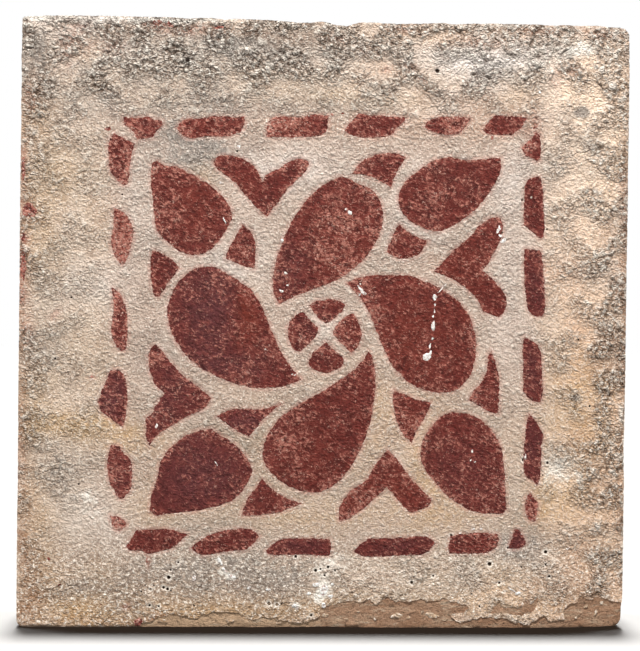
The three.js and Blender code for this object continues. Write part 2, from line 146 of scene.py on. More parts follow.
def ease(low, high, value):
    """0 below low, 1 above high, and a smooth step between."""
    t = np.clip((value - low) / (high - low), 0, 1)
    return t * t * (3 - 2 * t)


def corner_radius(x, z):
    """The radius of the corner nearest to each place."""
    upper = np.where(x > 0, TOP_RIGHT_RADIUS, TOP_LEFT_RADIUS)
    lower = np.where(x > 0, LOWER_RIGHT_RADIUS, LOWER_LEFT_RADIUS)
    return np.where(z > HEIGHT / 2, upper, lower)


def from_edge(x, z):
    """How far a place on the face lies inside the unworn outline."""
    radius = corner_radius(x, z)
    out_x = np.abs(x) - HALF_WIDTH + radius
    out_z = np.abs(z - HEIGHT / 2) - HEIGHT / 2 + radius
    beyond = np.hypot(np.maximum(out_x, 0), np.maximum(out_z, 0))
    return radius - beyond - np.minimum(np.maximum(out_x, out_z), 0)


def worn(x, z, share=1.0, depth=0.0):
    """Where wear leaves a place of the unworn outline or face."""

    def wear(table, along, seed):
        drawn_in = np.interp(along, *zip(*table)) * share
        crumble = 0.1 + 0.7 * bumps(along, depth, 2.6, seed) + 0.5 * bumps(along, depth, 1.1, seed + 1)
        return drawn_in + EDGE_CRUMBLE * np.maximum(crumble, 0)

    def near(distance):
        return np.clip(1 - distance / WEAR_REACH, 0, 1) ** 2

    left = wear(LEFT_WEAR, z, 11) * near(HALF_WIDTH + x)
    right = wear(RIGHT_WEAR, z, 13) * near(HALF_WIDTH - x)
    lower = wear(LOWER_WEAR, x, 15) * near(z)
    upper = wear(TOP_WEAR, x, 17) * near(HEIGHT - z)
    return x + left - right, z + lower - upper


def tile_outline(step):
    """Points of the unworn outline, about step apart, the way round that a clock goes backwards."""
    corners = [
        (1, 0, LOWER_RIGHT_RADIUS, -90), (1, 1, TOP_RIGHT_RADIUS, 0),
        (-1, 1, TOP_LEFT_RADIUS, 90), (-1, 0, LOWER_LEFT_RADIUS, 180),
    ]
    points = []
    for side, up, radius, start in corners:
        centre = (side * (HALF_WIDTH - radius), HEIGHT - radius if up else radius)
        turns = np.radians(start + np.linspace(0, 90, 9))
        arc = np.stack([np.cos(turns), np.sin(turns)], 1) * radius
        points.append(np.array(centre) + arc)
    return resample(np.vstack(points), step)


def resample(loop, step):
    """The points of a closed loop, dealt out again at even steps along it."""
    closed = np.vstack([loop, loop[:1]])
    along = np.concatenate([[0], np.cumsum(np.linalg.norm(np.diff(closed, axis=0), axis=1))])
    places = np.linspace(0, along[-1], max(int(round(along[-1] / step)), 6), endpoint=False)
    return np.stack([np.interp(places, along, closed[:, k]) for k in (0, 1)], 1)


def dotted(low, high, spacing, seed):
    """Points in staggered rows over a rectangle, each moved a little."""
    rows = np.arange(low[1], high[1], spacing * math.sqrt(3) / 2)
    columns = np.arange(low[0], high[0], spacing)
    x, z = np.meshgrid(columns, rows)
    x = x + np.where(np.arange(len(rows)) % 2, spacing / 2, 0)[:, None]
    points = np.stack([x.ravel(), z.ravel()], 1)
    return points + np.random.default_rng(seed).uniform(-0.16, 0.16, points.shape) * spacing


def tree_of(points):
    """Places on the face, kept so that the nearest one is found fast."""
    tree = KDTree(len(points))
    for index, (x, z) in enumerate(points):
        tree.insert((x, z, 0), index)
    tree.balance()
    return tree


def distances(tree, points):
    """How far each point lies from the nearest place that a tree keeps."""
    return np.array([tree.find((x, z, 0))[2] for x, z in points])


def inside(loop, points):
    """Which points a closed loop holds, by how often a ray to the right crosses it."""
    held = np.zeros(len(points), bool)
    for (x0, z0), (x1, z1) in zip(loop, np.roll(loop, -1, 0)):
        if z0 == z1:
            continue
        crosses = (z0 > points[:, 1]) != (z1 > points[:, 1])
        held ^= crosses & (points[:, 0] < x0 + (points[:, 1] - z0) * (x1 - x0) / (z1 - z0))
    return held


def filled(loops, inner, holes=()):
    """Triangles over flat loops and the points within them, except those over a hole."""
    points = np.vstack([*loops, inner]) if len(inner) else np.vstack(loops)
    borders = []
    first = 0
    for loop in loops:
        count = len(loop)
        borders += [(first + i, first + (i + 1) % count) for i in range(count)]
        first += count
    triangulated = delaunay_2d_cdt([Vector(p) for p in points], borders, [], 1, 1e-6)
    faces, origins = triangulated[2], triangulated[3]
    triangles = np.array([[origins[corner][0] for corner in face] for face in faces])
    for hole in holes:
        centres = points[triangles].mean(1)
        near = np.all((centres >= hole.min(0)) & (centres <= hole.max(0)), axis=1)
        lost = np.flatnonzero(near)[inside(hole, centres[near])]
        triangles = np.delete(triangles, lost, 0)
    return points, triangles


def closed_mesh(name, vertices, faces):
    """An object of closed solids from points in millimetres, smooth but for its sharp edges."""
    used = np.unique(np.concatenate([np.ravel(face_set) for face_set in faces]))
    renumbered = np.zeros(len(vertices), int)
    renumbered[used] = np.arange(len(used))
    mesh = bpy.data.meshes.new(name)
    corners = [row for face_set in faces for row in renumbered[face_set].tolist()]
    mesh.from_pydata((vertices[used] * MM).tolist(), [], corners)
    shaped = bmesh.new()
    shaped.from_mesh(mesh)
    bmesh.ops.recalc_face_normals(shaped, faces=shaped.faces)
    shaped.to_mesh(mesh)
    shaped.free()
    mesh.polygons.foreach_set("use_smooth", np.ones(len(mesh.polygons), bool))
    mesh.set_sharp_from_angle(angle=SHARP_FROM)
    mesh.update()
    piece = bpy.data.objects.new(name, mesh)
    bpy.context.scene.collection.objects.link(piece)
    return piece, used


def walls(rings):
    """Quads between rings of equally many vertices, each ring given as its vertex numbers."""
    return [
        np.stack([a, np.roll(a, -1), np.roll(b, -1), b], 1) for a, b in zip(rings, rings[1:])
    ]


def mark(piece, name, values):
    """Keeps a number for each vertex, or one for them all, for the material to read."""
    numbers = np.empty(len(piece.data.vertices), np.float32)
    numbers[:] = values
    piece.data.attributes.new(name, "FLOAT", "POINT").data.foreach_set("value", numbers)


# The clay can be bare up to BARE_HEIGHT above the lower edge. Only there, and on the back, is it
# modelled finely. An arris is written as rings: how far in each is drawn, and how far it lies
# from the slab's face or back.
SIDE_STEP = 0.8
RING_STEP = 0.9
BARE_HEIGHT = 14.0
BARE_START = 0.8
BARE_STEP = 0.75
COVERED_STEP = 6
BACK_STEP = 1.35
FRONT_RIM_CLEAR = 0.9
BACK_RIM_CLEAR = 2.4
FRONT_ARRIS = [(0.15, 0), (0.05, 0.4), (0, 1.0)]
BACK_ARRIS = [(0.05, 1.1), (0.25, 0.6), (0.6, 0.2), (1.1, 0)]
outline = tile_outline(SIDE_STEP)
count = len(outline)
along = np.arange(count) * SIDE_STEP


def body_ring(inset, y):
    """One ring of the slab's edge at a depth through its thickness."""
    through = (y - BODY_FRONT) / (BACK - BODY_FRONT)
    x, z = worn(*outline.T, share=1 - 0.6 * through, depth=y - BODY_FRONT)
    dents = 0.22 * bumps(along, y, 9, 31) + 0.16 * bumps(along, y, 3, 32)
    dents = (0.15 + dents) * ease(0, 2.5, y - BODY_FRONT)
    drawn_in = 1 - (inset + np.maximum(dents, 0)) / HALF_WIDTH
    middle = HEIGHT / 2
    return np.stack([x * drawn_in, np.full(count, y), middle + (z - middle) * drawn_in], 1)


ring_places = [(inset, BODY_FRONT + y) for inset, y in FRONT_ARRIS]
ring_places += [(0, y) for y in np.arange(BODY_FRONT + 1.9, BACK - 1.5, RING_STEP)]
ring_places += [(inset, BACK - y) for inset, y in BACK_ARRIS]
rings = [body_ring(inset, y) for inset, y in ring_places]

front_fine = dotted((-HALF_WIDTH, BARE_START), (HALF_WIDTH, BARE_HEIGHT), BARE_STEP, 41)
front_plain = dotted((-HALF_WIDTH, BARE_HEIGHT), (HALF_WIDTH, HEIGHT), COVERED_STEP, 42)
front_inner = np.vstack([front_fine, front_plain])
front_inner = front_inner[from_edge(*front_inner.T) > FRONT_RIM_CLEAR]
front_inner = np.stack(worn(*front_inner.T), 1)
back_inner = dotted((-HALF_WIDTH, 0), (HALF_WIDTH, HEIGHT), BACK_STEP, 43)
back_inner = back_inner[from_edge(*back_inner.T) > BACK_RIM_CLEAR]


def bare_clay_depth(x, z):
    """How far the torn clay lies behind the flat face under the coat: it stands a little proud."""
    terrace = 0.12 * np.round(1.6 * bumps(x * 0.5, z * 1.6, 6, 49) + 0.4 * bumps(x, z, 3, 39))
    torn = -0.22 + terrace + 0.10 * bumps(x, z * 1.6, 7, 44) + 0.1 * bumps(x, z, 2.2, 45)
    return np.clip(torn, -0.45, 0.2) * ease(BARE_HEIGHT, BARE_HEIGHT - 1.5, z)


def back_depth(x, z):
    """How far the rough back lies inside the slab's back plane."""
    dragged = 0.22 * bumps(x * 0.35, z, 5, 46) + 0.2 * bumps(x, z, 16, 47)
    dragged += 0.1 * bumps(x, z, 2.6, 48)
    return np.maximum(0.3 + dragged, 0)


front_points, front_triangles = filled([rings[0][:, [0, 2]]], front_inner)
back_points, back_triangles = filled([rings[-1][:, [0, 2]]], back_inner)
front_depth = bare_clay_depth(*front_points.T)
front_depth *= ease(0, 0.8, from_edge(*front_points.T))
front_depth[:count] = 0
back_in = back_depth(*back_points.T)
back_in[:count] = 0
slab = [np.column_stack([front_points[:, 0], BODY_FRONT + front_depth, front_points[:, 1]])]
slab += rings[1:-1]
slab += [np.column_stack([back_points[:, 0], BACK - back_in, back_points[:, 1]])]
starts = np.cumsum([0] + [len(part) for part in slab])
ring_numbers = [np.arange(count) + start for start in starts[:-1]]
clay_body, clay_used = closed_mesh(
    "clay_slab",
    np.vstack(slab),
    [front_triangles, back_triangles + starts[-2], *walls(ring_numbers)],
)
x, y, z = np.vstack(slab)[clay_used].T
off_face = y - BODY_FRONT
run_down = 1.6 + 1.1 * bumps(x + y, z, 7, 33)
mark(clay_body, "washed", ease(run_down + 1.2, run_down, off_face) * ease(0.3, 0.8, off_face))
bare_face = (off_face < 0.3) & (z < BARE_HEIGHT)
mark(clay_body, "thin_wash", bare_face * ease(4, -6, x + 3 * bumps(x, z, 5, 34)))
mark(clay_body, "grainy", bare_face | (off_face > 0.8))


def linear(hex_colour):
    """A linear colour from an sRGB hex value."""
    parts = [int(hex_colour[i : i + 2], 16) / 255 for i in (1, 3, 5)]
    return (*[v / 12.92 if v <= 0.04045 else ((v + 0.055) / 1.055) ** 2.4 for v in parts], 1.0)


def add_node(tree, kind, values=(), out=None, **settings):
    """One node: its settings, then a value or a link for its sockets, by name or in their order."""
    node = tree.nodes.new(kind)
    for name, value in settings.items():
        setattr(node, name, value)
    sockets = [socket for socket in node.inputs if socket.enabled]
    if isinstance(values, dict):
        sockets = [next(s for s in sockets if s.name == name) for name in values]
        values = values.values()
    for socket, value in zip(sockets, values):
        if isinstance(value, bpy.types.NodeSocket):
            tree.links.new(value, socket)
        elif value is not None:
            socket.default_value = value
    outputs = [s for s in node.outputs if s.enabled and out in (None, s.name)]
    return outputs[0] if outputs else None


def new_material(name):
    """An empty material, its tree and the Object coordinates that its patterns read."""
    material = bpy.data.materials.new(name)
    material.use_nodes = True
    tree = material.node_tree
    tree.nodes.clear()
    return material, tree, add_node(tree, "ShaderNodeTexCoord", out="Object")


def layered(tree, base, layers):
    """A base colour with others laid over it in turn. Each layer is the pattern that it follows,
    the range of that pattern, its own colour and whatever thins it."""
    colour = linear(base)
    for pattern, limits, shade, *thinned_by in layers:
        share = add_node(tree, "ShaderNodeMapRange", (pattern, *limits))
        for other in thinned_by:
            share = add_node(tree, "ShaderNodeMath", (share, other), operation="MULTIPLY")
        colour = add_node(tree, "ShaderNodeMix", (share, colour, linear(shade)), data_type="RGBA")
    return colour


def end_matt(tree, colour, height, depth, roughness, specular):
    """Gives a material its dry surface, where a height of 1 stands depth millimetres out."""
    relief = add_node(tree, "ShaderNodeBump", {"Distance": depth * MM, "Height": height})
    surface = {"Base Color": colour, "Roughness": roughness}
    surface |= {"Specular IOR Level": specular, "Normal": relief}
    shader = add_node(tree, "ShaderNodeBsdfPrincipled", surface)
    add_node(tree, "ShaderNodeOutputMaterial", (shader,))


# The clay is coarse earthenware fired at low heat: dry, open and buff-brown, with sand, grog
# and darker iron specks. Slip ran a little way over its edges.
CLAY_BUFF = "#9d775c"
CLAY_LIGHT = "#b08c71"
CLAY_STREAK = "#c4ab90"
CLAY_PIT = "#4a392d"
SLIP_RUN = "#c9b59d"
SLIP_THIN = "#c8a888"
fired_clay, tree, place = new_material("torn_buff_earthenware")
here = {
    name: add_node(tree, "ShaderNodeAttribute", out="Fac", attribute_name=name)
    for name in ("thin_wash", "washed")
}
streaks_at = add_node(tree, "ShaderNodeMapping", (place, None, None, (0.35, 1, 1.2)))
strata_at = add_node(tree, "ShaderNodeMapping", (place, None, None, (0.25, 1, 1)))
patches = add_node(tree, "ShaderNodeTexNoise", (place, 1 / (9 * MM), 5, 0.65))
streaks = add_node(tree, "ShaderNodeTexNoise", (streaks_at, 1 / (3 * MM), 4, 0.7))
strata = add_node(tree, "ShaderNodeTexNoise", (strata_at, 1 / (1.6 * MM), 4, 0.7, 2, 0.4))
grain = add_node(tree, "ShaderNodeTexNoise", (place, 1 / (0.9 * MM), 4, 0.75))
colour = layered(tree, CLAY_BUFF, [
    (patches, (0.35, 0.65), CLAY_LIGHT),
    (streaks, (0.52, 0.68, 0, 0.5), CLAY_STREAK),
    (here["thin_wash"], (0, 1, 0, 0.8), SLIP_THIN),
    (strata, (0.54, 0.68, 0, 0.7), SLIP_RUN),
    (strata, (0.42, 0.3, 0, 0.7), CLAY_PIT),
    (here["washed"], (0, 1), SLIP_RUN),
    (grain, (0.48, 0.28, 0, 0.8), CLAY_PIT),
])
end_matt(tree, colour, grain, 1.2, 0.95, 0.2)
clay_body.data.materials.append(fired_clay)
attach(clay_body, "root")
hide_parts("clay_body")

# Sand and grog stand out of the clay wherever it is bare. The same tree of nodes strews the grit
# that shows in the two slips. Grit is written as its grains to a square metre where it lies
# thickest, then its smallest and its largest radius in millimetres.
CLAY_GRIT = (42000, 0.14, 0.4)
WHOLE_TURN = (6.28, 6.28, 6.28)
grains = bpy.data.node_groups.new("strewn_grains", "GeometryNodeTree")
for name, kind in (
    ("Surface", "NodeSocketGeometry"), ("Grains per square metre", "NodeSocketFloat"),
    ("Smallest radius", "NodeSocketFloat"), ("Largest radius", "NodeSocketFloat"),
    ("Seed", "NodeSocketInt"), ("Material", "NodeSocketMaterial"),
):
    grains.interface.new_socket(name, in_out="INPUT", socket_type=kind)
grains.interface.new_socket("Grains", in_out="OUTPUT", socket_type="NodeSocketGeometry")
given = add_node(grains, "NodeGroupInput").node.outputs
share = add_node(
    grains, "GeometryNodeInputNamedAttribute", ("grainy",), out="Attribute", data_type="FLOAT"
)
density = add_node(
    grains, "ShaderNodeMath", (share, given["Grains per square metre"]), operation="MULTIPLY"
)
spots = add_node(
    grains, "GeometryNodeDistributePointsOnFaces",
    {"Mesh": given["Surface"], "Density": density, "Seed": given["Seed"]},
)
radius = add_node(
    grains, "FunctionNodeRandomValue",
    {"Min": given["Smallest radius"], "Max": given["Largest radius"], "Seed": given["Seed"]},
)
squash = add_node(
    grains, "FunctionNodeRandomValue", ((0.7, 0.7, 0.5), (1.3, 1.1, 0.9)), data_type="FLOAT_VECTOR"
)
size = add_node(grains, "ShaderNodeVectorMath", (squash, radius), operation="MULTIPLY")
turn = add_node(
    grains, "FunctionNodeRandomValue", ((0, 0, 0), WHOLE_TURN), data_type="FLOAT_VECTOR"
)
grain_shape = add_node(grains, "GeometryNodeMeshIcoSphere", (1.0, 1))
strewn_over = add_node(
    grains, "GeometryNodeInstanceOnPoints",
    {"Points": spots, "Instance": grain_shape, "Rotation": turn, "Scale": size},
)
whole = add_node(grains, "GeometryNodeRealizeInstances", (strewn_over,))
finished = add_node(
    grains, "GeometryNodeSetMaterial", {"Geometry": whole, "Material": given["Material"]}
)
add_node(grains, "NodeGroupOutput", (finished,))


def strewn(name, surface, per_square_metre, smallest, largest, material, seed):
    """Grains strewn over a piece by the tree, as a plain mesh kept inside the tile's box."""
    piece = bpy.data.objects.new(name, surface.data.copy())
    bpy.context.scene.collection.objects.link(piece)
    modifier = piece.modifiers.new("strewn", "NODES")
    modifier.node_group = grains
    values = {
        "Grains per square metre": float(per_square_metre), "Smallest radius": smallest * MM,
        "Largest radius": largest * MM, "Seed": seed, "Material": material,
    }
    for item in grains.interface.items_tree:
        if item.name in values:
            modifier[item.identifier] = values[item.name]
    evaluated = piece.evaluated_get(bpy.context.evaluated_depsgraph_get())
    mesh = bpy.data.meshes.new_from_object(evaluated)
    piece.modifiers.remove(modifier)
    piece.data = mesh
    places = np.empty(len(mesh.vertices) * 3, np.float32)
    mesh.vertices.foreach_get("co", places)
    places = np.clip(places.reshape(-1, 3), np.array(cad_low) + 1e-6, np.array(cad_high) - 1e-6)
    mesh.vertices.foreach_set("co", places.ravel())
    mesh.polygons.foreach_set("use_smooth", np.ones(len(mesh.polygons), bool))
    mesh.update()
    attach(piece, "root")
    return piece


clay_grit = strewn("clay_grit", clay_body, *CLAY_GRIT, fired_clay, 121)

# Ground coat: a skin of pale slip brushed over the face before firing, worn at the rim and
# flaked off along the lower edge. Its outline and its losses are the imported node's own.
COAT_STEP = 0.67
COARSE_BAND_STEP = 0.54
COARSE_BAND_FROM = 172
COARSE_BAND_GAP = 0.3
COVERED_BY_RED = 1.2
UNDER_RED_STEP = 2.4
UNDER_RED_CLEAR = 2.0
COAT_RIM_STEP = 0.4
COAT_RIM_CLEAR = 0.36
TILE_EDGE_CLEAR = 0.35
RED_RIM_STEP = 0.36
SLIP_GRIT = (190000, 0.12, 0.34)
COAT_REST_DEPTH = 0.38
COAT_LEAST_DEPTH = 0.1
COAT_MOST_DEPTH = 0.9
COAT_LEAST_THICKNESS = 0.08
COAT_KEY = 0.15
WRINKLE_SLANT = math.radians(24)
BORDER_HALF = 73.0
BORDER_MIDDLE = (0.3, 97.5)
FLAT_WITHIN = 0.004
# Each ring of points in a pore is written as its share of the pore's width and its number of
# points, and each pore as its middle x and z and its width.
PORE_RINGS = ((0, 1), (0.28, 6), (0.45, 9), (0.66, 9))
PORES = [
    (-50.4, 16.5, 1.2), (-58, 13.9, 0.5), (-56.3, 12.6, 0.7), (-59.3, 11.8, 0.5),
    (-55.2, 13.8, 0.5), (-52, 13.2, 0.9), (-50.7, 12.7, 0.9), (-66.2, 12, 0.6), (-56.5, 7.3, 0.8),
    (-53.5, 7, 0.7), (-47.3, 21.5, 0.7), (-49.7, 19, 0.6), (-49.6, 12.2, 0.6), (-42, 7.3, 0.6),
    (-17.4, 8, 1.0), (-14.8, 7.7, 1.0), (-13.3, 7.9, 0.6), (-2.2, 19, 1.0), (-0.6, 19.5, 0.7),
    (1.9, 20.2, 0.9), (0.8, 17.4, 0.7), (4.2, 19, 0.7), (-3.5, 4.2, 0.8), (-8.8, 23.6, 0.9),
    (29.6, 15.2, 1.0), (36.7, 17.4, 0.7), (49.5, 11.5, 0.6), (52.2, 7.3, 0.6), (55.4, 21.4, 1.3),
    (58.7, 15.2, 0.8), (61.4, 26.8, 0.7), (74, 25.5, 1.1), (75.3, 17.4, 0.8), (74, 21.4, 0.6),
    (66, 20.4, 0.6), (74.2, 55.1, 0.9), (72.7, 51, 0.5), (73, 132.4, 0.6), (64.6, 141.9, 0.6),
    (-66.8, 141.8, 0.6), (57.8, 131, 1.0), (56.5, 129.8, 0.7), (66.2, 56, 1.1), (-49.1, 133.3, 0.6),
    (-53.5, 127.8, 0.6), (42.5, 30.8, 0.9), (-29.5, 156.5, 0.7), (50, 28.2, 0.9),
    (45.7, 154.5, 0.6), (36, 184, 1.4), (-46, 186, 1.3), (-83, 108, 0.6), (-88, 88, 0.7),
    (84, 96, 0.6), (88, 74, 0.7), (-80, 47, 0.6),
]


def flat_loops(node, y):
    """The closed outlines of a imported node's faces that lie in the plane at y."""
    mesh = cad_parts[node].data
    mesh.calc_loop_triangles()
    corners = np.array([v.co for v in mesh.vertices]) / MM
    keys = np.round(corners * 1000).astype(int)
    _, first, merged = np.unique(keys, axis=0, return_index=True, return_inverse=True)
    merged = merged.ravel()
    following = {}
    for triangle in mesh.loop_triangles:
        ids = [int(merged[v]) for v in triangle.vertices]
        if all(abs(corners[v][1] - y) < FLAT_WITHIN for v in triangle.vertices):
            for a, b in zip(ids, ids[1:] + ids[:1]):
                if following.get(b, set()) and a in following[b]:
                    following[b].discard(a)
                else:
                    following.setdefault(a, set()).add(b)
    loops = []
    while any(following.values()):
        start = next(a for a, ends in following.items() if ends)
        loop = [start]
        here = following[start].pop()
        while here != start:
            loop.append(here)
            here = following[here].pop()
        loops.append(corners[first[loop]][:, [0, 2]])
    loops.sort(key=len, reverse=True)
    x, z = loops[0].T
    turns_left = np.sum(x * np.roll(z, -1) - np.roll(x, -1) * z) > 0
    return loops if turns_left else [loop[::-1] for loop in loops]


def margin(x, z):
    """0 inside the dashed border, 1 outside it."""
    across = np.maximum(np.abs(x - BORDER_MIDDLE[0]), np.abs(z - BORDER_MIDDLE[1]))
    return ease(BORDER_HALF - 6, BORDER_HALF + 6, across + 4 * bumps(x, z, 18, 50))


def coarseness(x, z):
    """How rough the slip is: gritty at the top and the right, smoother inside the border."""
    top = ease(171, 197, z + 6 * bumps(x, z, 20, 51)) * (1 - 0.2 * ease(20, 80, x))
    sides = ease(84, 97, np.abs(x + 1) + 4 * bumps(x, z, 14, 52))
    sides *= 0.3 + 0.95 * ease(-20, 20, x)
    sides *= 0.2 + 0.8 * ease(8, 46, z)
    upper_left = 0.1 * ease(150, 175, z) * ease(-20, -60, x)
    outside = margin(x, z) * (0.12 + 0.13 * ease(-40, 60, x))
    calm = 0.25 * ease(46, 38, z) * ease(100, 80, x) + 0.06 * ease(120, 80, z)
    patchy = 0.3 + 1.3 * ease(-0.45, 0.45, bumps(x, z, 9, 59))
    rough = 0.16 + outside + 0.85 * top + 0.55 * sides + upper_left
    return np.clip(rough * patchy - calm, 0, 1)


def coat_relief(x, z):
    """How far the slip's wrinkles and grit draw its surface back, or forward where below 0."""
    rough = coarseness(x, z)
    swirl_x = x + 0.7 * bumps(x, z, 4.2, 66)
    swirl_z = z + 0.7 * bumps(x, z, 4.2, 67)
    u = 0.85 * (swirl_x * math.cos(WRINKLE_SLANT) - swirl_z * math.sin(WRINKLE_SLANT))
    v = swirl_x * math.sin(WRINKLE_SLANT) + swirl_z * math.cos(WRINKLE_SLANT)
    grain = 0.05 * bumps(u, v, 4.2, 60) + 0.17 * bumps(u, v, 2.3, 55) + 0.19 * bumps(u, v, 1.3, 56)
    crevices = 0.28 * ease(0.2, 0.02, np.abs(bumps(u, v, 3.8, 58))) * ease(0.35, 0.9, rough)
    lumps = 0.17 * bumps(u, v, 6, 72) * ease(0.3, 0.8, rough)
    return crevices - lumps - (0.3 + 1.6 * rough) * grain


def coat_depth(x, z):
    """How far the ground coat's surface lies behind the foremost plane."""
    waves = 0.07 * bumps(x, z, 48, 53) + 0.05 * bumps(x, z, 15, 54) + 0.12 * coarseness(x, z)
    depth = COAT_REST_DEPTH + waves + coat_relief(x, z)
    for pore_x, pore_z, width in PORES:
        near = (np.abs(x - pore_x) < width) & (np.abs(z - pore_z) < width)
        away = np.hypot(x[near] - pore_x, z[near] - pore_z)
        depth[near] += 0.5 * width * ease(0.62 * width, 0.3 * width, away)
    rounding = 0.8 + 0.6 * ease(HEIGHT - 5, HEIGHT - 1, z) + 0.5 * bumps(x, z, 11, 57)
    short = np.clip(rounding - from_edge(x, z), 0, rounding)
    drop = np.minimum(rounding - np.sqrt(rounding**2 - short**2), 0.5)
    return np.minimum(np.maximum(depth, COAT_LEAST_DEPTH) + drop, COAT_MOST_DEPTH)


def ragged(loop, amount, seed, fineness=1.0):
    """A loop whose points stray by about an amount, as a broken or brushed edge does."""
    x, z = loop.T * fineness
    across = 0.7 * bumps(x, z, 2.6, seed) + 0.5 * bumps(x, z, 1.1, seed + 1)
    up = 0.7 * bumps(x, z, 2.6, seed + 2) + 0.5 * bumps(x, z, 1.1, seed + 3)
    return loop + amount * np.stack([across, up], 1)


coat_loops = []
for loop in flat_loops("ground_coat", BODY_FRONT):
    loop = resample(loop, COAT_RIM_STEP)
    broken = (from_edge(*loop.T) > 0.3)[:, None]
    loop = np.where(broken, ragged(ragged(loop, 0.5, 61), 0.4, 97), loop)
    coat_loops.append(np.stack(worn(*loop.T), 1))
coat_edge = tree_of(np.vstack(coat_loops))
pore_points = [
    (x + share * width * math.cos(turn), z + share * width * math.sin(turn))
    for x, z, width in PORES
    for share, turns in PORE_RINGS
    for turn in np.linspace(0, 2 * math.pi, turns, endpoint=False)
]
coat_inner = dotted((-HALF_WIDTH, 0), (HALF_WIDTH, HEIGHT), COAT_STEP, 62)
motif_loops = {
    name: resample(flat_loops(name, FOREMOST)[0], RED_RIM_STEP)
    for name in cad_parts
    if name not in ("clay_body", "ground_coat")
}
red_edges = tree_of(np.vstack(list(motif_loops.values())))


def under_red_skin(points):
    """Which places on the face a patch of red slip covers."""
    covered = np.zeros(len(points), bool)
    for loop in motif_loops.values():
        near = np.all((points > loop.min(0)) & (points < loop.max(0)), axis=1)
        covered[near] |= inside(loop, points[near])
    return covered


under_red = under_red_skin(coat_inner)
under_red[under_red] = distances(red_edges, coat_inner[under_red]) > COVERED_BY_RED
hidden = dotted((-HALF_WIDTH, 0), (HALF_WIDTH, HEIGHT), UNDER_RED_STEP, 65)
hidden = hidden[under_red_skin(hidden)]
hidden = hidden[distances(red_edges, hidden) > UNDER_RED_CLEAR]
coat_inner = np.vstack([coat_inner[~under_red], hidden])
clear = np.ones(len(coat_inner), bool)
for pore_x, pore_z, width in PORES:
    clear &= np.linalg.norm(coat_inner - (pore_x, pore_z), axis=1) > 0.95 * width
coat_inner = coat_inner[clear]
coat_inner = coat_inner[coat_inner[:, 1] < COARSE_BAND_FROM - COARSE_BAND_GAP]
band = dotted((-HALF_WIDTH, COARSE_BAND_FROM), (HALF_WIDTH, HEIGHT), COARSE_BAND_STEP, 69)
coat_inner = np.vstack([coat_inner, band, pore_points])
coat_inner = coat_inner[from_edge(*coat_inner.T) > TILE_EDGE_CLEAR]
coat_inner = np.stack(worn(*coat_inner.T), 1)
coat_inner = coat_inner[distances(coat_edge, coat_inner) > COAT_RIM_CLEAR]

coat_points, coat_triangles = filled(coat_loops, coat_inner, coat_loops[1:])
under_points, under_triangles = filled(coat_loops, [], coat_loops[1:])
x, z = coat_points.T
from_loss = distances(tree_of(np.vstack(coat_loops[1:])), coat_points)
under_rim = ease(-0.1, 0.5, distances(red_edges, coat_points))
terraces = np.maximum(np.round(2.2 * bumps(x * 0.5, z * 1.8, 5, 70)), 0)
depths = coat_depth(x, z)
depths += 0.34 * ease(1.4 + 0.8 * bumps(x, z, 5, 68), 0, from_loss)
depths += 0.09 * terraces * ease(4.5, 1.0, from_loss)
depths += 0.16 * under_rim * under_red_skin(coat_points)
rim_count = len(under_points)
depths[:rim_count] += 0.06
depths = np.minimum(depths, BODY_FRONT - FOREMOST - COAT_LEAST_THICKNESS)
front = np.column_stack([coat_points[:, 0], FOREMOST + depths, coat_points[:, 1]])
crumbled = np.vstack([ragged(loop, 0.16, 64) for loop in coat_loops])
crumbled = np.clip(crumbled, (-HALF_WIDTH + 0.1, 0.1), (HALF_WIDTH - 0.1, HEIGHT - 0.1))
halfway = (FOREMOST + depths[:rim_count] + BODY_FRONT) / 2
middle = np.column_stack([crumbled[:, 0], halfway, crumbled[:, 1]])
behind = np.column_stack(
    [under_points[:, 0], np.full(rim_count, BODY_FRONT + COAT_KEY), under_points[:, 1]]
)
coat_walls = []
first = 0
for loop in coat_loops:
    numbers = np.arange(len(loop)) + first
    coat_walls += walls([numbers, numbers + len(front), numbers + len(front) + rim_count])
    first += len(loop)
ground_coat, coat_used = closed_mesh(
    "ground_slip_coat",
    np.vstack([front, middle, behind]),
    [coat_triangles, under_triangles + len(front) + rim_count, *coat_walls],
)
coat_places = np.vstack([coat_points, crumbled, under_points])
from_red = np.minimum(distances(red_edges, coat_places), 9)
coat_places = coat_places[coat_used]

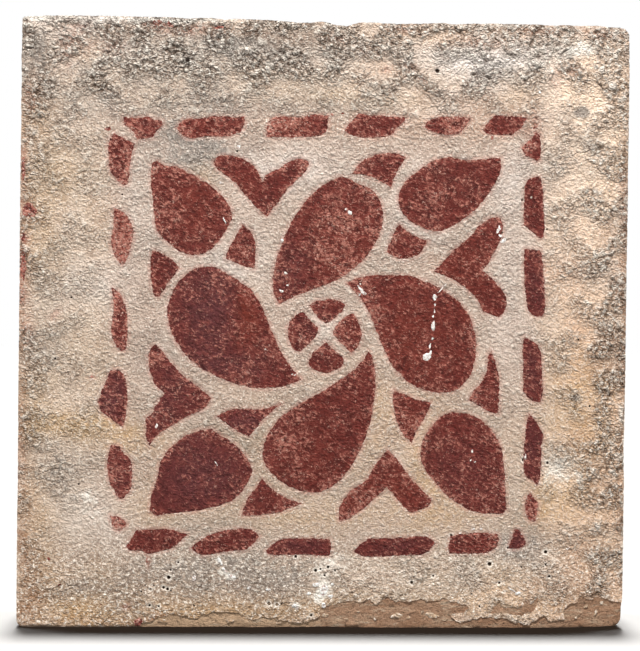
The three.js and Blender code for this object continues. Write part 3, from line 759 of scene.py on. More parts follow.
# What stains the coat: soot and damp at the top, rust-brown where handling wore it towards the
# clay, ochre where the slip was thin, and lime that bloomed out. Each stain is written as its
# middle x and z, its half width and half height, and its strength. MILK_AND_TOP_EDGE_HIGHLIGHT is
# paler slip, PEACH and
# BLUSH warmer slip. The thin strips at z 199 in MILK_AND_TOP_EDGE_HIGHLIGHT and
# LIME_AND_TOP_EDGE_HIGHLIGHT are no stain but a painted highlight along the top arris.
MILK_AND_TOP_EDGE_HIGHLIGHT = [
    (80, 170, 12, 24, 0.15), (82, 192, 14, 5, 1.0), (92, 184, 10, 16, 1.0), (90, 158, 10, 24, 0.6),
    (85, 187, 9, 14, 1.2), (50, 186, 14, 8, 0.5), (54, 195, 9, 4, 1.0), (74, 195, 8, 4, 0.6),
    (46, 190, 44, 8, 0.5), (34, 174, 10, 6, 0.5), (-85, 196, 8, 4, 1.4), (-75, 199, 24, 1.6, 1.0),
    (-88, 190, 14, 8, 0.3), (-60, 190, 30, 6, 0.2), (-92, 108, 8, 10, 0.3), (-74, 111, 9, 9, 0.4),
    (-90, 32, 8, 14, 0.3), (-74, 38, 10, 8, 0.4), (62, 110, 7, 40, 0.2), (96, 122, 6, 26, 0.6),
    (-61, 140, 6, 20, 0.15), (-14, 150, 14, 8, 0.5), (-30, 120, 12, 10, 0.35),
    (30, 140, 9, 12, 0.4), (60, 148, 8, 10, 0.3), (0, 100, 6, 6, 0.3), (4, 44, 8, 8, 0.2),
    (24, 54, 6, 6, 0.7), (78, 54, 7, 8, 0.3), (64, 42, 4, 10, 0.3), (66, 190, 20, 4, 1.0),
]
BLUSH = [
    (90, 132, 12, 20, 0.3), (97, 120, 5, 70, 0.3), (91, 70, 13, 44, 0.75), (90, 18, 13, 18, 0.9),
    (97, 46, 5, 40, 0.4), (60, 9, 34, 6, 0.35), (12, 4, 34, 4, 0.3), (-70, 4, 34, 5, 0.3),
    (-97, 30, 5, 40, 0.2), (-98, 122, 3, 50, 0.3), (-95, 172, 6, 14, 0.35), (45, 172, 30, 10, 0.2),
    (-66, 196, 30, 4, 0.35), (46, 195, 40, 4, 0.35), (0, 166, 60, 5, 0.3), (60, 165, 24, 4, 0.3),
    (80, 118, 8, 7, 0.5), (84, 97, 8, 10, 0.3), (70, 38, 8, 8, 0.4), (-81, 190, 9, 6, 0.4),
    (20, 184, 8, 4, 0.4), (36, 122, 10, 6, 0.3), (30, 60, 14, 20, 0.2), (-20, 60, 40, 14, 0.15),
]
PEACH = [
    (92, 160, 14, 40, 1.3), (92, 50, 12, 40, 0.4), (86, 184, 16, 10, 1.1), (46, 196, 30, 4, 0.7),
    (94, 22, 8, 20, 0.7), (95, 10, 6, 12, 0.6), (92, 104, 10, 12, 0.4), (94, 68, 7, 16, 0.5),
    (74, 104, 6, 14, 0.3), (78, 45, 7, 7, 0.4), (84, 26, 12, 16, 0.3), (56, 8, 24, 7, 0.3),
    (80, 12, 14, 10, 0.3), (18, 188, 14, 8, 0.3), (34, 176, 10, 8, 0.3), (-88, 192, 14, 7, 0.6),
    (-60, 176, 16, 8, 0.15), (-93, 132, 7, 14, 0.25), (-92, 50, 10, 40, 0.25),
]
IRON = [
    (-99, 119, 1.6, 8, 0.9), (-98.8, 150, 1.4, 10, 0.6), (-96.8, 136, 3.0, 2.8, 0.7),
    (-98.5, 127, 1.4, 1.4, 0.8), (-99, 108, 1.6, 3, 0.6), (-56, 198, 4, 1.6, 0.9),
    (-44, 196, 8, 2, 0.5), (-85, 192, 3, 3, 0.4), (-81, 195.5, 3, 2, 0.4), (-85.5, 187, 2, 4, 0.4),
    (-70, 190, 3, 2.5, 0.4), (27, 185, 2, 1.6, 0.6), (19, 184, 1.6, 1.4, 0.5),
    (31, 181, 1.6, 1.4, 0.5), (82, 185, 3, 2, 0.5), (76, 184, 3, 2.4, 0.4), (3, 194, 3, 1.6, 0.5),
    (25, 197.5, 6, 1.5, 0.5), (50, 194, 8, 2, 0.4), (-98, 172, 2, 4, 0.5), (68.5, 167, 1.6, 4, 0.6),
    (65, 164, 3, 2, 0.3), (-57, 21.5, 0.8, 2, 0.8), (99, 140, 1.6, 12, 0.4), (-98, 98, 2.4, 5, 0.4),
    (-52, 2.6, 6, 2, 0.3), (-64, 6.3, 1.4, 1.2, 0.7), (68, 8, 2.5, 1.6, 0.4),
    (75, 180.5, 2, 1.5, 0.4), (-79, 190, 3, 2, 0.3), (90, 197, 5, 1.5, 0.5),
    (70, 197.5, 6, 1.4, 0.4), (12, 190, 2, 2, 0.3), (-88, 102, 2, 2, 0.35),
    (-76, 82, 1.2, 1.0, 0.6), (-70.5, 160, 2, 2, 0.3), (-100, 60, 2, 20, 0.3),
]
SOOT = [
    (-62, 193, 36, 6, 0.5), (-24, 191, 20, 5, 1.0), (8, 190, 14, 4, 0.3), (-97, 186, 5, 9, 1.1),
    (-86, 176, 10, 12, 0.25), (-48, 174, 20, 8, 0.3), (-70, 170, 40, 9, 0.35),
    (-4, 171, 32, 7, 0.5), (-36, 184, 8, 14, 0.35), (-38, 156, 12, 7, 0.9), (-46, 161, 9, 8, 0.45),
    (62, 167, 22, 5, 0.3), (-47, 186, 3, 2, 0.9), (-72, 174, 3, 2.4, 0.6), (52, 182, 3, 2, 0.5),
    (84, 171.5, 2.4, 1.8, 2.2), (88, 160, 2, 1.8, 0.8), (84, 161, 7, 4, 0.5), (88, 152, 4, 3, 0.5),
    (-92, 193, 5, 3, 0.3), (-78, 184, 6, 3, 0.5), (-62, 180, 8, 3, 0.4), (-52, 150, 8, 9, 0.4),
    (-66, 150, 4, 10, 0.3), (-90, 149, 12, 9, 0.35), (-94, 80, 9, 70, 0.26), (-92, 94, 9, 8, 0.5),
    (-85, 53, 12, 9, 0.6), (-88, 118, 8, 10, 0.3), (-85, 28, 16, 12, 0.2), (-83, 12, 9, 4, 0.6),
    (-75, 86, 10, 16, 0.2), (84, 77, 1.8, 1.6, 1.0), (96, 138, 2, 4, 0.7), (45, 155.5, 3, 1, 0.8),
    (88, 118, 9, 5, 0.5), (95, 88, 5, 9, 0.4), (10, 148, 8, 8, 0.3), (70, 152, 8, 8, 0.3),
    (52, 130, 10, 7, 0.2), (30, 128, 12, 7, 0.6), (-54, 128, 6, 10, 0.3), (-30, 108, 8, 8, 0.15),
    (24, 102, 6, 10, 0.2), (-52, 89, 9, 9, 0.5), (-46, 71, 14, 7, 0.4), (-24, 66, 14, 7, 0.4),
    (-4, 69, 9, 10, 0.45), (12, 66, 6, 14, 0.2), (50, 68, 8, 8, 0.3), (-30, 52, 9, 10, 0.65),
    (-10, 46, 6, 6, 0.25), (-38, 32, 16, 7, 0.45), (66, 38, 6, 8, 0.5), (64, 27, 14, 5, 0.7),
    (80, 30, 14, 8, 0.2), (0, 28, 95, 13, 0.16), (0, 64, 74, 24, 0.12), (-36, 17, 26, 9, 0.95),
    (-15, 14, 13, 8, 0.6), (-70, 13, 15, 7, 0.6), (-65, 5, 6, 5, 0.6), (30, 12, 12, 4, 0.3),
    (45, 15, 8, 5, 0.4), (79, 14, 11, 5, 0.45),
]
RUST = [
    (99.8, 150, 2.0, 60, 0.6), (99.5, 70, 2.2, 50, 0.5), (92, 24, 9, 20, 0.3), (91, 92, 6, 10, 0.5),
    (90, 12, 8, 8, 0.4), (97, 112, 3, 10, 0.4), (-99, 100, 1.6, 60, 0.5), (-98, 30, 3, 34, 0.35),
    (-60, 2, 40, 2, 0.35), (20, 2, 60, 3, 0.2), (80, 14, 14, 9, 0.1), (-94, 10, 8, 6, 0.3),
    (-10, 193, 12, 2.5, 0.4), (-28, 196, 12, 2, 0.6), (94, 176, 3, 6, 0.4), (93, 132, 3, 5, 0.4),
    (85, 26, 6, 5, 0.4), (92, 48, 4, 7, 0.35), (60, 193, 30, 4, 0.25), (32, 176, 3, 5, 0.5),
    (64, 172, 6, 5, 0.4), (84, 186, 12, 8, 0.1), (-60, 10, 40, 9, 0.3), (76, 13, 12, 8, 0.25),
    (-14, 9, 20, 8, 0.2), (-84, 24, 12, 8, 0.2), (-96, 20, 5, 22, 0.4), (-97, 110, 4, 40, 0.15),
    (86, 60, 7, 12, 0.3), (90, 192, 8, 5, 0.2), (70, 198.5, 28, 2.2, 0.7), (-96, 176, 3, 8, 0.4),
    (52, 176, 5, 5, 0.35), (42, 174, 5, 2, 0.5),
]
OCHRE = [
    (-84, 66, 18, 4.5, 0.95), (-64, 62, 9, 4, 0.5), (-8, 36, 30, 6, 0.3), (0, 55, 60, 26, 0.3),
    (-78, 9, 26, 10, 0.8), (-50, 6, 30, 7, 0.6), (-10, 7, 26, 6, 0.5), (40, 10, 30, 6, 0.35),
    (-95, 46, 6, 40, 0.3), (-94, 132, 7, 22, 0.3), (-74, 132, 7, 24, 0.15), (-72, 84, 8, 20, 0.2),
    (-30, 16, 20, 7, 0.3), (88, 74, 9, 20, 0.2), (-94, 168, 6, 6, 0.3), (-88, 148, 8, 10, 0.3),
    (-92, 122, 7, 12, 0.25), (-24, 104, 3, 10, 0.3), (-94, 76, 6, 12, 0.3), (70, 8, 12, 5, 0.3),
    (24, 174, 12, 3, 0.3), (60, 20, 8, 6, 0.2), (-22, 62, 30, 5, 0.2), (40, 36, 14, 5, 0.25),
    (62, 176, 5, 4, 0.3), (-8, 176, 16, 4, 0.2), (-52, 40, 20, 9, 0.3), (-92, 152, 9, 16, 0.3),
    (-92, 30, 8, 14, 0.45), (78, 45, 10, 12, 0.4), (66, 52, 32, 30, 0.16), (84, 76, 9, 16, 0.45),
    (-88, 96, 10, 12, 0.3), (70, 38, 8, 6, 0.35), (-40, 4, 34, 3, 0.5), (-41, 149, 4, 5, 0.4),
    (36, 52, 8, 16, 0.35), (14, 74, 8, 10, 0.3), (3, 176, 8, 2, 0.3),
]
LIME_AND_TOP_EDGE_HIGHLIGHT = [
    (1, 13, 3.5, 4, 1.0), (-2, 10, 2, 2, 0.6), (-8.8, 7.5, 1.4, 1.2, 1.0), (-31, 18, 4, 2.2, 0.7),
    (-34, 23, 1.6, 2.2, 0.6), (-61, 140, 6, 24, 0.25), (-10, 150, 14, 10, 0.2),
    (76, 170, 8, 22, 0.15), (62, 98, 6, 30, 0.2), (78, 54, 7, 9, 0.6), (82, 192, 12, 4, 0.7),
    (-24, 118, 8, 8, 0.15), (10, 108, 8, 6, 0.15), (-74, 38, 10, 8, 0.35), (72, 22, 5, 3, 0.35),
    (64, 42, 3, 8, 0.3), (3, 21, 8, 4, 0.5), (-52, 199, 30, 1.2, 0.8), (-96, 199, 8, 1.2, 0.8),
    (60, 199, 30, 1.0, 0.5), (-82, 166, 12, 8, 0.2), (-78, 44, 5, 3, 0.4), (68, 186, 6, 3, 0.5),
    (14, 176, 20, 10, 0.15),
]


def stained(x, z, stains, seed):
    """How strong a list of stains is at each place, with edges that wander, the more the larger."""
    stray_x = 3.5 * bumps(x, z, 13, seed) + 1.2 * bumps(x, z, 4, seed + 1)
    stray_z = 3.0 * bumps(x, z, 12, seed + 2) + 1.0 * bumps(x, z, 4, seed + 3)
    total = np.zeros(len(x))
    for middle_x, middle_z, half_width, half_height, strength in stains:
        stray = min(1, min(half_width, half_height) / 6)
        across = (x + stray * stray_x - middle_x) / half_width
        up = (z + stray * stray_z - middle_z) / half_height
        total += strength * np.exp(-(across**2) - up**2)
    return total


x, z = coat_places.T
for name, stains, seed in (
    ("milk_and_edge_highlight", MILK_AND_TOP_EDGE_HIGHLIGHT, 63), ("blush", BLUSH, 67), ("peach", PEACH, 98), ("iron", IRON, 89),
    ("soot", SOOT, 71), ("rust", RUST, 75), ("ochre", OCHRE, 79), ("lime_and_edge_highlight", LIME_AND_TOP_EDGE_HIGHLIGHT, 83),
):
    mark(ground_coat, name, stained(x, z, stains, seed))
mark(ground_coat, "coarse", coarseness(x, z))
mark(ground_coat, "inner", 1 - margin(x, z))
mark(ground_coat, "specked", ease(36, 20, z + 4 * bumps(x, z, 9, 87)))
mark(ground_coat, "from_red", from_red[coat_used])
# The relief is kept for the materials: painted shade in its hollows and a painted highlight on its
# crests.
mark(ground_coat, "relief_shading_and_wear", coat_relief(x, z))
on_top = (coat_used < len(front)) & ~under_red_skin(coat_places) & (from_edge(x, z) > 0.5)
mark(ground_coat, "grainy", on_top * (0.1 + 0.9 * coarseness(x, z) ** 1.5))
# In a pore the painted shade is dark, up to 1, and on the paler rim of a wide one it is below 0.
pore_shade = np.zeros(len(x))
for pore_x, pore_z, width in PORES:
    away = np.hypot(x - pore_x, z - pore_z)
    ring = ease(1.15 * width, 0.8 * width, away) * (width > 0.65) * (pore_z < 60)
    pore_shade = np.where(away < 0.6 * width, ease(0.6 * width, 0.36 * width, away), pore_shade)
    pore_shade = np.where((away >= 0.6 * width) & (pore_shade <= 0), pore_shade - ring, pore_shade)
mark(ground_coat, "pore_painted_shade", pore_shade)

# The coat is fired white-firing slip, matt and chalky: cream where it is clean, with a short
# brushed grain, fine pits and paler grains that stand out. Its colour also holds painted shade,
# darker in the hollows, cracks, pores and pinholes of its relief, and a painted highlight, paler
# on its crests.
SLIP_CREAM = "#cebaa8"
SLIP_DULL = "#baa28e"
SLIP_THICK = "#b09a8d"
MILK_AND_HIGHLIGHT_WHITE = "#efe6df"
PEACH_CREAM = "#f3d2b4"
BLUSH_TAN = "#cf9f7f"
SOOT_GREY = "#827b74"
RUST_BROWN = "#8d6548"
OCHRE_TAN = "#c29c6c"
IRON_RED = "#9a5a4a"
LIME_AND_HIGHLIGHT_WHITE = "#f3ece0"
BLUSH_PINK = "#c08c7e"
SPECK_AND_SHADE_BROWN = "#5c4635"
CRACK_SHADE_DARK = "#432f22"
GRAIN_AND_HIGHLIGHT_PALE = "#f9eee0"
PORE_SHADE_BROWN = "#2a1c15"
slip_coat, tree, place = new_material("brushed_white_slip")
here = {
    name: add_node(tree, "ShaderNodeAttribute", out="Fac", attribute_name=name)
    for name in (
        "milk_and_edge_highlight", "blush", "peach", "ochre", "soot", "rust", "iron", "lime_and_edge_highlight",
        "coarse", "inner", "specked", "from_red", "relief_shading_and_wear", "pore_painted_shade", "proud",
    )
}
brushed_at = add_node(
    tree, "ShaderNodeMapping", (place, None, (0, WRINKLE_SLANT, 0), (1.2, 1, 1)),
    vector_type="TEXTURE",
)
patches = add_node(tree, "ShaderNodeTexNoise", (place, 1 / (6 * MM), 4, 0.6))
blotches = add_node(tree, "ShaderNodeTexNoise", (place, 1 / (1.8 * MM), 4, 0.8))
specks = add_node(tree, "ShaderNodeTexNoise", (place, 1 / (1.3 * MM), 3, 0.75))
grain = add_node(tree, "ShaderNodeTexNoise", (brushed_at, 1 / (1.15 * MM), 3, 0.6, 2, 0.35))
grit = add_node(tree, "ShaderNodeTexNoise", (place, 1 / (0.6 * MM), 2, 0.6))
stray = add_node(tree, "ShaderNodeTexNoise", (place, 1 / (1.6 * MM), 2, 0.5), out="Color")
crumbs_at = add_node(
    tree, "ShaderNodeVectorMath", (stray, (1.3 * MM,) * 3, place), operation="MULTIPLY_ADD"
)
crumbs = add_node(
    tree, "ShaderNodeTexVoronoi", {"Vector": crumbs_at, "Scale": 1 / (1.5 * MM)},
    out="Distance", feature="DISTANCE_TO_EDGE",
)
# Pinholes are not modelled in the relief; these dark dots are their painted shade.
pinhole_shade = add_node(tree, "ShaderNodeTexVoronoi", (place, 1 / (3.4 * MM)), out="Distance")
chosen = add_node(tree, "ShaderNodeTexVoronoi", (place, 1 / (3.4 * MM)), out="Color")
chosen = add_node(tree, "ShaderNodeMapRange", (chosen, 0.62, 0.9, 0, 0.9))
broken = add_node(tree, "ShaderNodeMapRange", (blotches, 0.34, 0.66, 0.25, 1.5))
# How strong the painted shade in the hollows and cracks is: stronger where the slip is coarse, weaker
# where it is milky.
hollow_shade = add_node(tree, "ShaderNodeMapRange", (here["milk_and_edge_highlight"], 0.2, 1.2, 1, 0.35))
hollow_shade = add_node(tree, "ShaderNodeMath", (hollow_shade, here["coarse"]), operation="MULTIPLY")
hollow_shade_share = add_node(tree, "ShaderNodeMapRange", (hollow_shade, 0, 1, 0.16, 0.7))
crest_highlight_share = add_node(tree, "ShaderNodeMapRange", (here["coarse"], 0.2, 1, 0.12, 0.95))
crack_shade = add_node(tree, "ShaderNodeMapRange", (blotches, 0.42, 0.6))
crack_shade = add_node(tree, "ShaderNodeMath", (crack_shade, hollow_shade), operation="MULTIPLY")
layers = [(patches, (0.35, 0.65), SLIP_DULL), (here["inner"], (0, 1, 0, 0.62), SLIP_THICK)]
# The paler-slip stain also carries the painted highlight along the top arris.
for name, shade in (
    ("milk_and_edge_highlight", MILK_AND_HIGHLIGHT_WHITE), ("blush", BLUSH_TAN), ("peach", PEACH_CREAM), ("ochre", OCHRE_TAN),
    ("soot", SOOT_GREY), ("rust", RUST_BROWN), ("iron", IRON_RED),
):
    stain = add_node(tree, "ShaderNodeMath", (here[name], broken), operation="MULTIPLY")
    layers.append((stain, (0, 1, 0, 0.85), shade))
# Lime bloom, with the painted highlight of the thin strips along the top edge.
bloom = add_node(tree, "ShaderNodeMath", (blotches, 1.8, here["lime_and_edge_highlight"]), operation="MULTIPLY_ADD")
layers += [
    (bloom, (1.25, 1.65, 0, 0.9), LIME_AND_HIGHLIGHT_WHITE),
    (here["from_red"], (0.1, 1.3, 0.5, 0), BLUSH_PINK, broken),
    # Painted shade where the relief lies deep and a painted highlight where it stands forward, then
    # the same in the grain's hollows and on its crests, and painted shade in the cracks between
    # crumbs.
    (here["relief_shading_and_wear"], (0.1, 0.45, 0, 0.7), SPECK_AND_SHADE_BROWN),
    (here["relief_shading_and_wear"], (-0.04, -0.3, 0, 0.75), GRAIN_AND_HIGHLIGHT_PALE),
    (grain, (0.48, 0.34), SPECK_AND_SHADE_BROWN, hollow_shade_share),
    (grain, (0.52, 0.64), GRAIN_AND_HIGHLIGHT_PALE, crest_highlight_share),
    (crumbs, (0.1, 0.02), CRACK_SHADE_DARK, crack_shade),
    (specks, (0.47, 0.36, 0, 0.55), SPECK_AND_SHADE_BROWN, here["specked"]),
    (specks, (0.55, 0.64, 0, 0.75), GRAIN_AND_HIGHLIGHT_PALE, here["specked"]),
    (grit, (0.56, 0.74, 0, 0.7), GRAIN_AND_HIGHLIGHT_PALE),
    # Painted shade of the pinholes.
    (pinhole_shade, (0.13, 0.05), PORE_SHADE_BROWN, chosen),
    # The pale rims of wide pores, then painted shade inside the pores.
    (here["pore_painted_shade"], (0, -1, 0, 0.75), GRAIN_AND_HIGHLIGHT_PALE),
    (here["pore_painted_shade"], (0.1, 0.8), PORE_SHADE_BROWN),
    (here["proud"], (0, 1, 0, 0.5), GRAIN_AND_HIGHLIGHT_PALE),
]
crumb_height = add_node(tree, "ShaderNodeMapRange", (crumbs, 0, 0.25, 0, 0.35))
crumb_height = add_node(
    tree, "ShaderNodeMath", (crumb_height, here["coarse"]), operation="MULTIPLY"
)
grain_height = add_node(tree, "ShaderNodeMapRange", (here["coarse"], 0, 1, 0.4, 1.25))
height = add_node(tree, "ShaderNodeMath", (grit, 0.6, grain), operation="MULTIPLY_ADD")
height = add_node(
    tree, "ShaderNodeMath", (height, grain_height, crumb_height), operation="MULTIPLY_ADD"
)
end_matt(tree, layered(tree, SLIP_CREAM, layers), height, 2.4, 0.9, 0.2)
ground_coat.data.materials.append(slip_coat)
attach(ground_coat, "root")
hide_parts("ground_coat")
slip_grit = strewn("slip_grit", ground_coat, *SLIP_GRIT, slip_coat, 122)
mark(slip_grit, "proud", 1)

# Red slip: iron-rich slip, dabbed through a cut stencil before the one firing. Each opening of
# the stencil left one thin skin, whose rim soaked into the ground coat.
RED_STEP = 0.5
RED_RIM_CLEAR = 0.28
RED_RIM_WIDTH = 0.35
RED_PROUD = 0.08
RED_KEY = 0.35
RED_GRIT = (330000, 0.08, 0.24)
SKIN_LEAST_DEPTH = 0.02
# Where the red is rubbed thin or, below 0, lies thick, and where it fired purple or brick red,
# each place written as a stain is.
WORN = [
    (4, 120, 10, 11, 0.8), (9, 134, 7, 8, 0.6), (-67, 128, 4, 11, 1.0), (-68, 106, 3, 6, 0.7),
    (-67, 51, 4, 3, 0.8), (-67, 34, 4, 4, 1.4), (69, 38, 4, 6, 1.4), (-44, 164, 6, 3, 0.6),
    (-15, 165, 7, 4, 1.0), (40, 166, 8, 3, 0.9), (50, 28, 9, 3, 0.5), (8, 97, 4, 6, 0.8),
    (-13, 62, 5, 5, 0.8), (12, 42, 8, 6, 0.6), (32, 142, 8, 6, 0.5), (-62, 165, 5, 3, 0.5),
    (-67, 153, 4, 6, 0.5), (30, 68, 4, 6, 0.4), (66, 161, 3, 4, 0.8), (-28, 123, 4, 5, 0.5),
    (-44, 44, 14, 13, -0.7), (69, 86, 4, 46, -0.5), (20, 27, 40, 4, -0.5), (64, 30, 5, 5, -0.5),
    (-38, 96, 12, 14, -0.3), (40, 96, 12, 14, -0.3), (8, 60, 12, 16, -0.3), (-60, 27, 8, 5, -0.4),
]
PURPLE = [
    (-38, 104, 11, 15, 1.0), (-30, 86, 14, 6, 0.7), (-40, 50, 16, 14, 0.8), (-69, 76, 5, 10, 1.0),
    (-50, 76, 8, 14, 0.6), (69, 115, 4, 12, 0.5), (69, 86, 4, 12, 0.5), (69, 60, 4, 12, 0.6),
    (-8, 27, 12, 4, 0.6), (24, 27, 14, 4, 0.5), (-24, 68, 9, 4, 0.8), (-3, 97, 8, 8, 0.4),
    (46, 52, 12, 12, 0.3), (64, 30, 4, 4, 0.7), (-12, 118, 6, 10, 0.5), (-67, 50, 4, 9, 0.4),
]
BRICK = [
    (-26, 104, 5, 12, 1.0), (30, 96, 16, 16, 0.6), (-66, 127, 4, 10, 1.0), (4, 126, 12, 14, 0.4),
    (18, 44, 14, 10, 0.6), (-14, 165, 7, 4, 0.8), (-44, 138, 10, 12, 0.4), (30, 68, 6, 8, 0.4),
    (-8, 60, 12, 12, 0.3), (48, 120, 10, 12, 0.4), (-38, 164, 10, 4, 0.3), (-30, 144, 8, 6, 0.4),
]
RED_TONES = (("worn", WORN, 93), ("purple", PURPLE, 94), ("brick", BRICK, 95))


def skin(loop, spacing, seed, clear, depth_of, swell, rim_width, key):
    """A thin closed skin on the face within a loop, which swells over rim_width and is key thick
    at its rim. It gives the vertices and the faces, those of the front first, then the front's
    places and how far each lies from the rim."""
    inner = dotted(loop.min(0), loop.max(0), spacing, seed)
    inner = inner[inside(loop, inner)]
    edge = tree_of(loop)
    if len(inner):
        inner = inner[distances(edge, inner) > clear]
    points, triangles = filled([loop], inner)
    _, under_triangles = filled([loop], [])
    from_rim = distances(edge, points)
    depth = depth_of(*points.T) - swell * ease(-0.15, rim_width, from_rim)
    depth = np.maximum(depth, SKIN_LEAST_DEPTH)
    front = np.column_stack([points[:, 0], FOREMOST + depth, points[:, 1]])
    rim = np.arange(len(loop))
    faces = [triangles, under_triangles + len(front), *walls([rim, rim + len(front)])]
    return np.vstack([front, front[rim] + (0, key, 0)]), faces, points, from_rim


red_patches = []
red_grounds = []
for name, loop in motif_loops.items():
    loop = ragged(ragged(loop, 0.3, 91), 0.14, 99, 1.7)
    vertices, faces, points, from_rim = skin(
        loop, RED_STEP, 92, RED_RIM_CLEAR, coat_depth, RED_PROUD, RED_RIM_WIDTH, RED_KEY
    )
    patch, used = closed_mesh(name + "_skin", vertices, faces)
    x, z = np.vstack([points, loop])[used].T
    mark(patch, "from_rim", np.concatenate([from_rim, from_rim[: len(loop)]])[used])
    # The relief is kept for painted shade in its hollows, and for the thinner red and a painted
    # highlight on its crests.
    mark(patch, "relief_shading_and_wear", coat_relief(x, z))
    for tone, stains, seed in RED_TONES:
        mark(patch, tone, stained(x, z, stains, seed))
    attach(patch, "root")
    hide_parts(name)
    red_patches.append(patch)
    red_grounds.append((vertices[: len(points)], faces[0], points, from_rim))

# The red is slip full of iron, fired matt: brown-red where it lies thick, and rosy or fleshy where
# the dabbed skin is so thin that the pale coat shows through its grain. Its colour also holds
# painted shade, darker in the hollows of its relief, and a painted highlight on its crests, where
# the red is rubbed thin as well.
RED_BROWN = "#762a21"
RED_MAROON = "#62211a"
RED_PURPLE = "#663538"
RED_BRICK = "#853220"
RED_DARK_AND_SHADE = "#42120b"
RED_LIGHT = "#9c4e42"
RED_PALE_AND_HIGHLIGHT = "#ca8573"
RED_FLECK = "#e2b8a6"
RED_RIM = "#c29a89"
red_slip, tree, place = new_material("stencilled_red_slip")
here = {
    name: add_node(tree, "ShaderNodeAttribute", out="Fac", attribute_name=name)
    for name in ("from_rim", "worn", "purple", "brick", "relief_shading_and_wear", "proud")
}
dabbed_at = add_node(
    tree, "ShaderNodeMapping", (place, None, (0, WRINKLE_SLANT, 0), (1.4, 1, 1)),
    vector_type="TEXTURE",
)
patches = add_node(tree, "ShaderNodeTexNoise", (place, 1 / (7 * MM), 4, 0.6))
mottle = add_node(tree, "ShaderNodeTexNoise", (dabbed_at, 1 / (2.4 * MM), 4, 0.75, 2, 0.5))
grain = add_node(tree, "ShaderNodeTexNoise", (dabbed_at, 1 / (0.8 * MM), 3, 0.7, 2, 0.4))
grit = add_node(tree, "ShaderNodeTexNoise", (place, 1 / (0.6 * MM), 2, 0.6))
rim_broken = add_node(
    tree, "ShaderNodeMath", (grain, -2.2, here["from_rim"]), operation="MULTIPLY_ADD"
)
rim_thin = add_node(tree, "ShaderNodeMapRange", (here["from_rim"], 0.2, 2.2, 0.05, 0))
uneven = add_node(tree, "ShaderNodeMapRange", (patches, 0.3, 0.7, -0.07, 0.05))
crest = add_node(tree, "ShaderNodeMapRange", (here["relief_shading_and_wear"], 0.15, -0.15, -0.05, 0.05))
thin = add_node(tree, "ShaderNodeMath", (here["worn"], 0.1, rim_thin), operation="MULTIPLY_ADD")
for more in (uneven, crest):
    thin = add_node(tree, "ShaderNodeMath", (thin, more), operation="ADD")
light_mottle, light_grain, light_grit = [
    add_node(tree, "ShaderNodeMath", (pattern, thin), operation="ADD")
    for pattern in (mottle, grain, grit)
]
colour = layered(tree, RED_BROWN, [
    (patches, (0.35, 0.65), RED_MAROON),
    (here["purple"], (0, 1, 0, 0.8), RED_PURPLE),
    (here["brick"], (0, 1, 0, 0.8), RED_BRICK),
    (mottle, (0.5, 0.3, 0, 0.6), RED_DARK_AND_SHADE),
    (light_mottle, (0.45, 0.68, 0, 0.65), RED_LIGHT),
    # Paler on the grain's crests: the red is rubbed thin there, and this is partly a painted
    # highlight.
    (light_grain, (0.53, 0.65, 0, 0.85), RED_PALE_AND_HIGHLIGHT),
    # Painted shade: darker where the relief lies deep and in the hollows of the grain.
    (here["relief_shading_and_wear"], (0.04, 0.2, 0, 0.6), RED_DARK_AND_SHADE),
    (grain, (0.46, 0.36, 0, 0.6), RED_DARK_AND_SHADE),
    (light_grit, (0.64, 0.74, 0, 0.8), RED_FLECK),
    (rim_broken, (-0.95, -1.15, 0, 0.9), RED_RIM),
    (here["proud"], (0, 1, 0, 0.35), RED_PALE_AND_HIGHLIGHT),
])
end_matt(tree, colour, grain, 3.4, 0.75, 0.25)
for patch in red_patches:
    patch.data.materials.append(red_slip)

# Red grit is strewn over all the fronts at once, most of it where the red is thin.
fronts, triangle_sets, place_sets, rim_sets = zip(*red_grounds)
starts = np.cumsum([0] + [len(front) for front in fronts])
red_ground, used = closed_mesh(
    "red_ground",
    np.vstack(fronts),
    [triangles + start for triangles, start in zip(triangle_sets, starts)],
)
x, z = np.vstack(place_sets)[used].T
from_rim = np.concatenate(rim_sets)[used]
for tone, stains, seed in RED_TONES:
    mark(red_ground, tone, stained(x, z, stains, seed))
mark(red_ground, "from_rim", 9)
rubbed = 0.04 + 0.45 * ease(2.5, 0.8, from_rim) + 0.6 * stained(x, z, WORN, 93)
rubbed += 0.25 * ease(0, 0.6, bumps(x, z, 6, 96))
mark(red_ground, "grainy", np.clip(rubbed, 0, 1) * (from_rim > 0.25))
red_grit = strewn("red_grit", red_ground, *RED_GRIT, red_slip, 123)
mark(red_grit, "proud", 1)
bpy.data.objects.remove(red_ground)

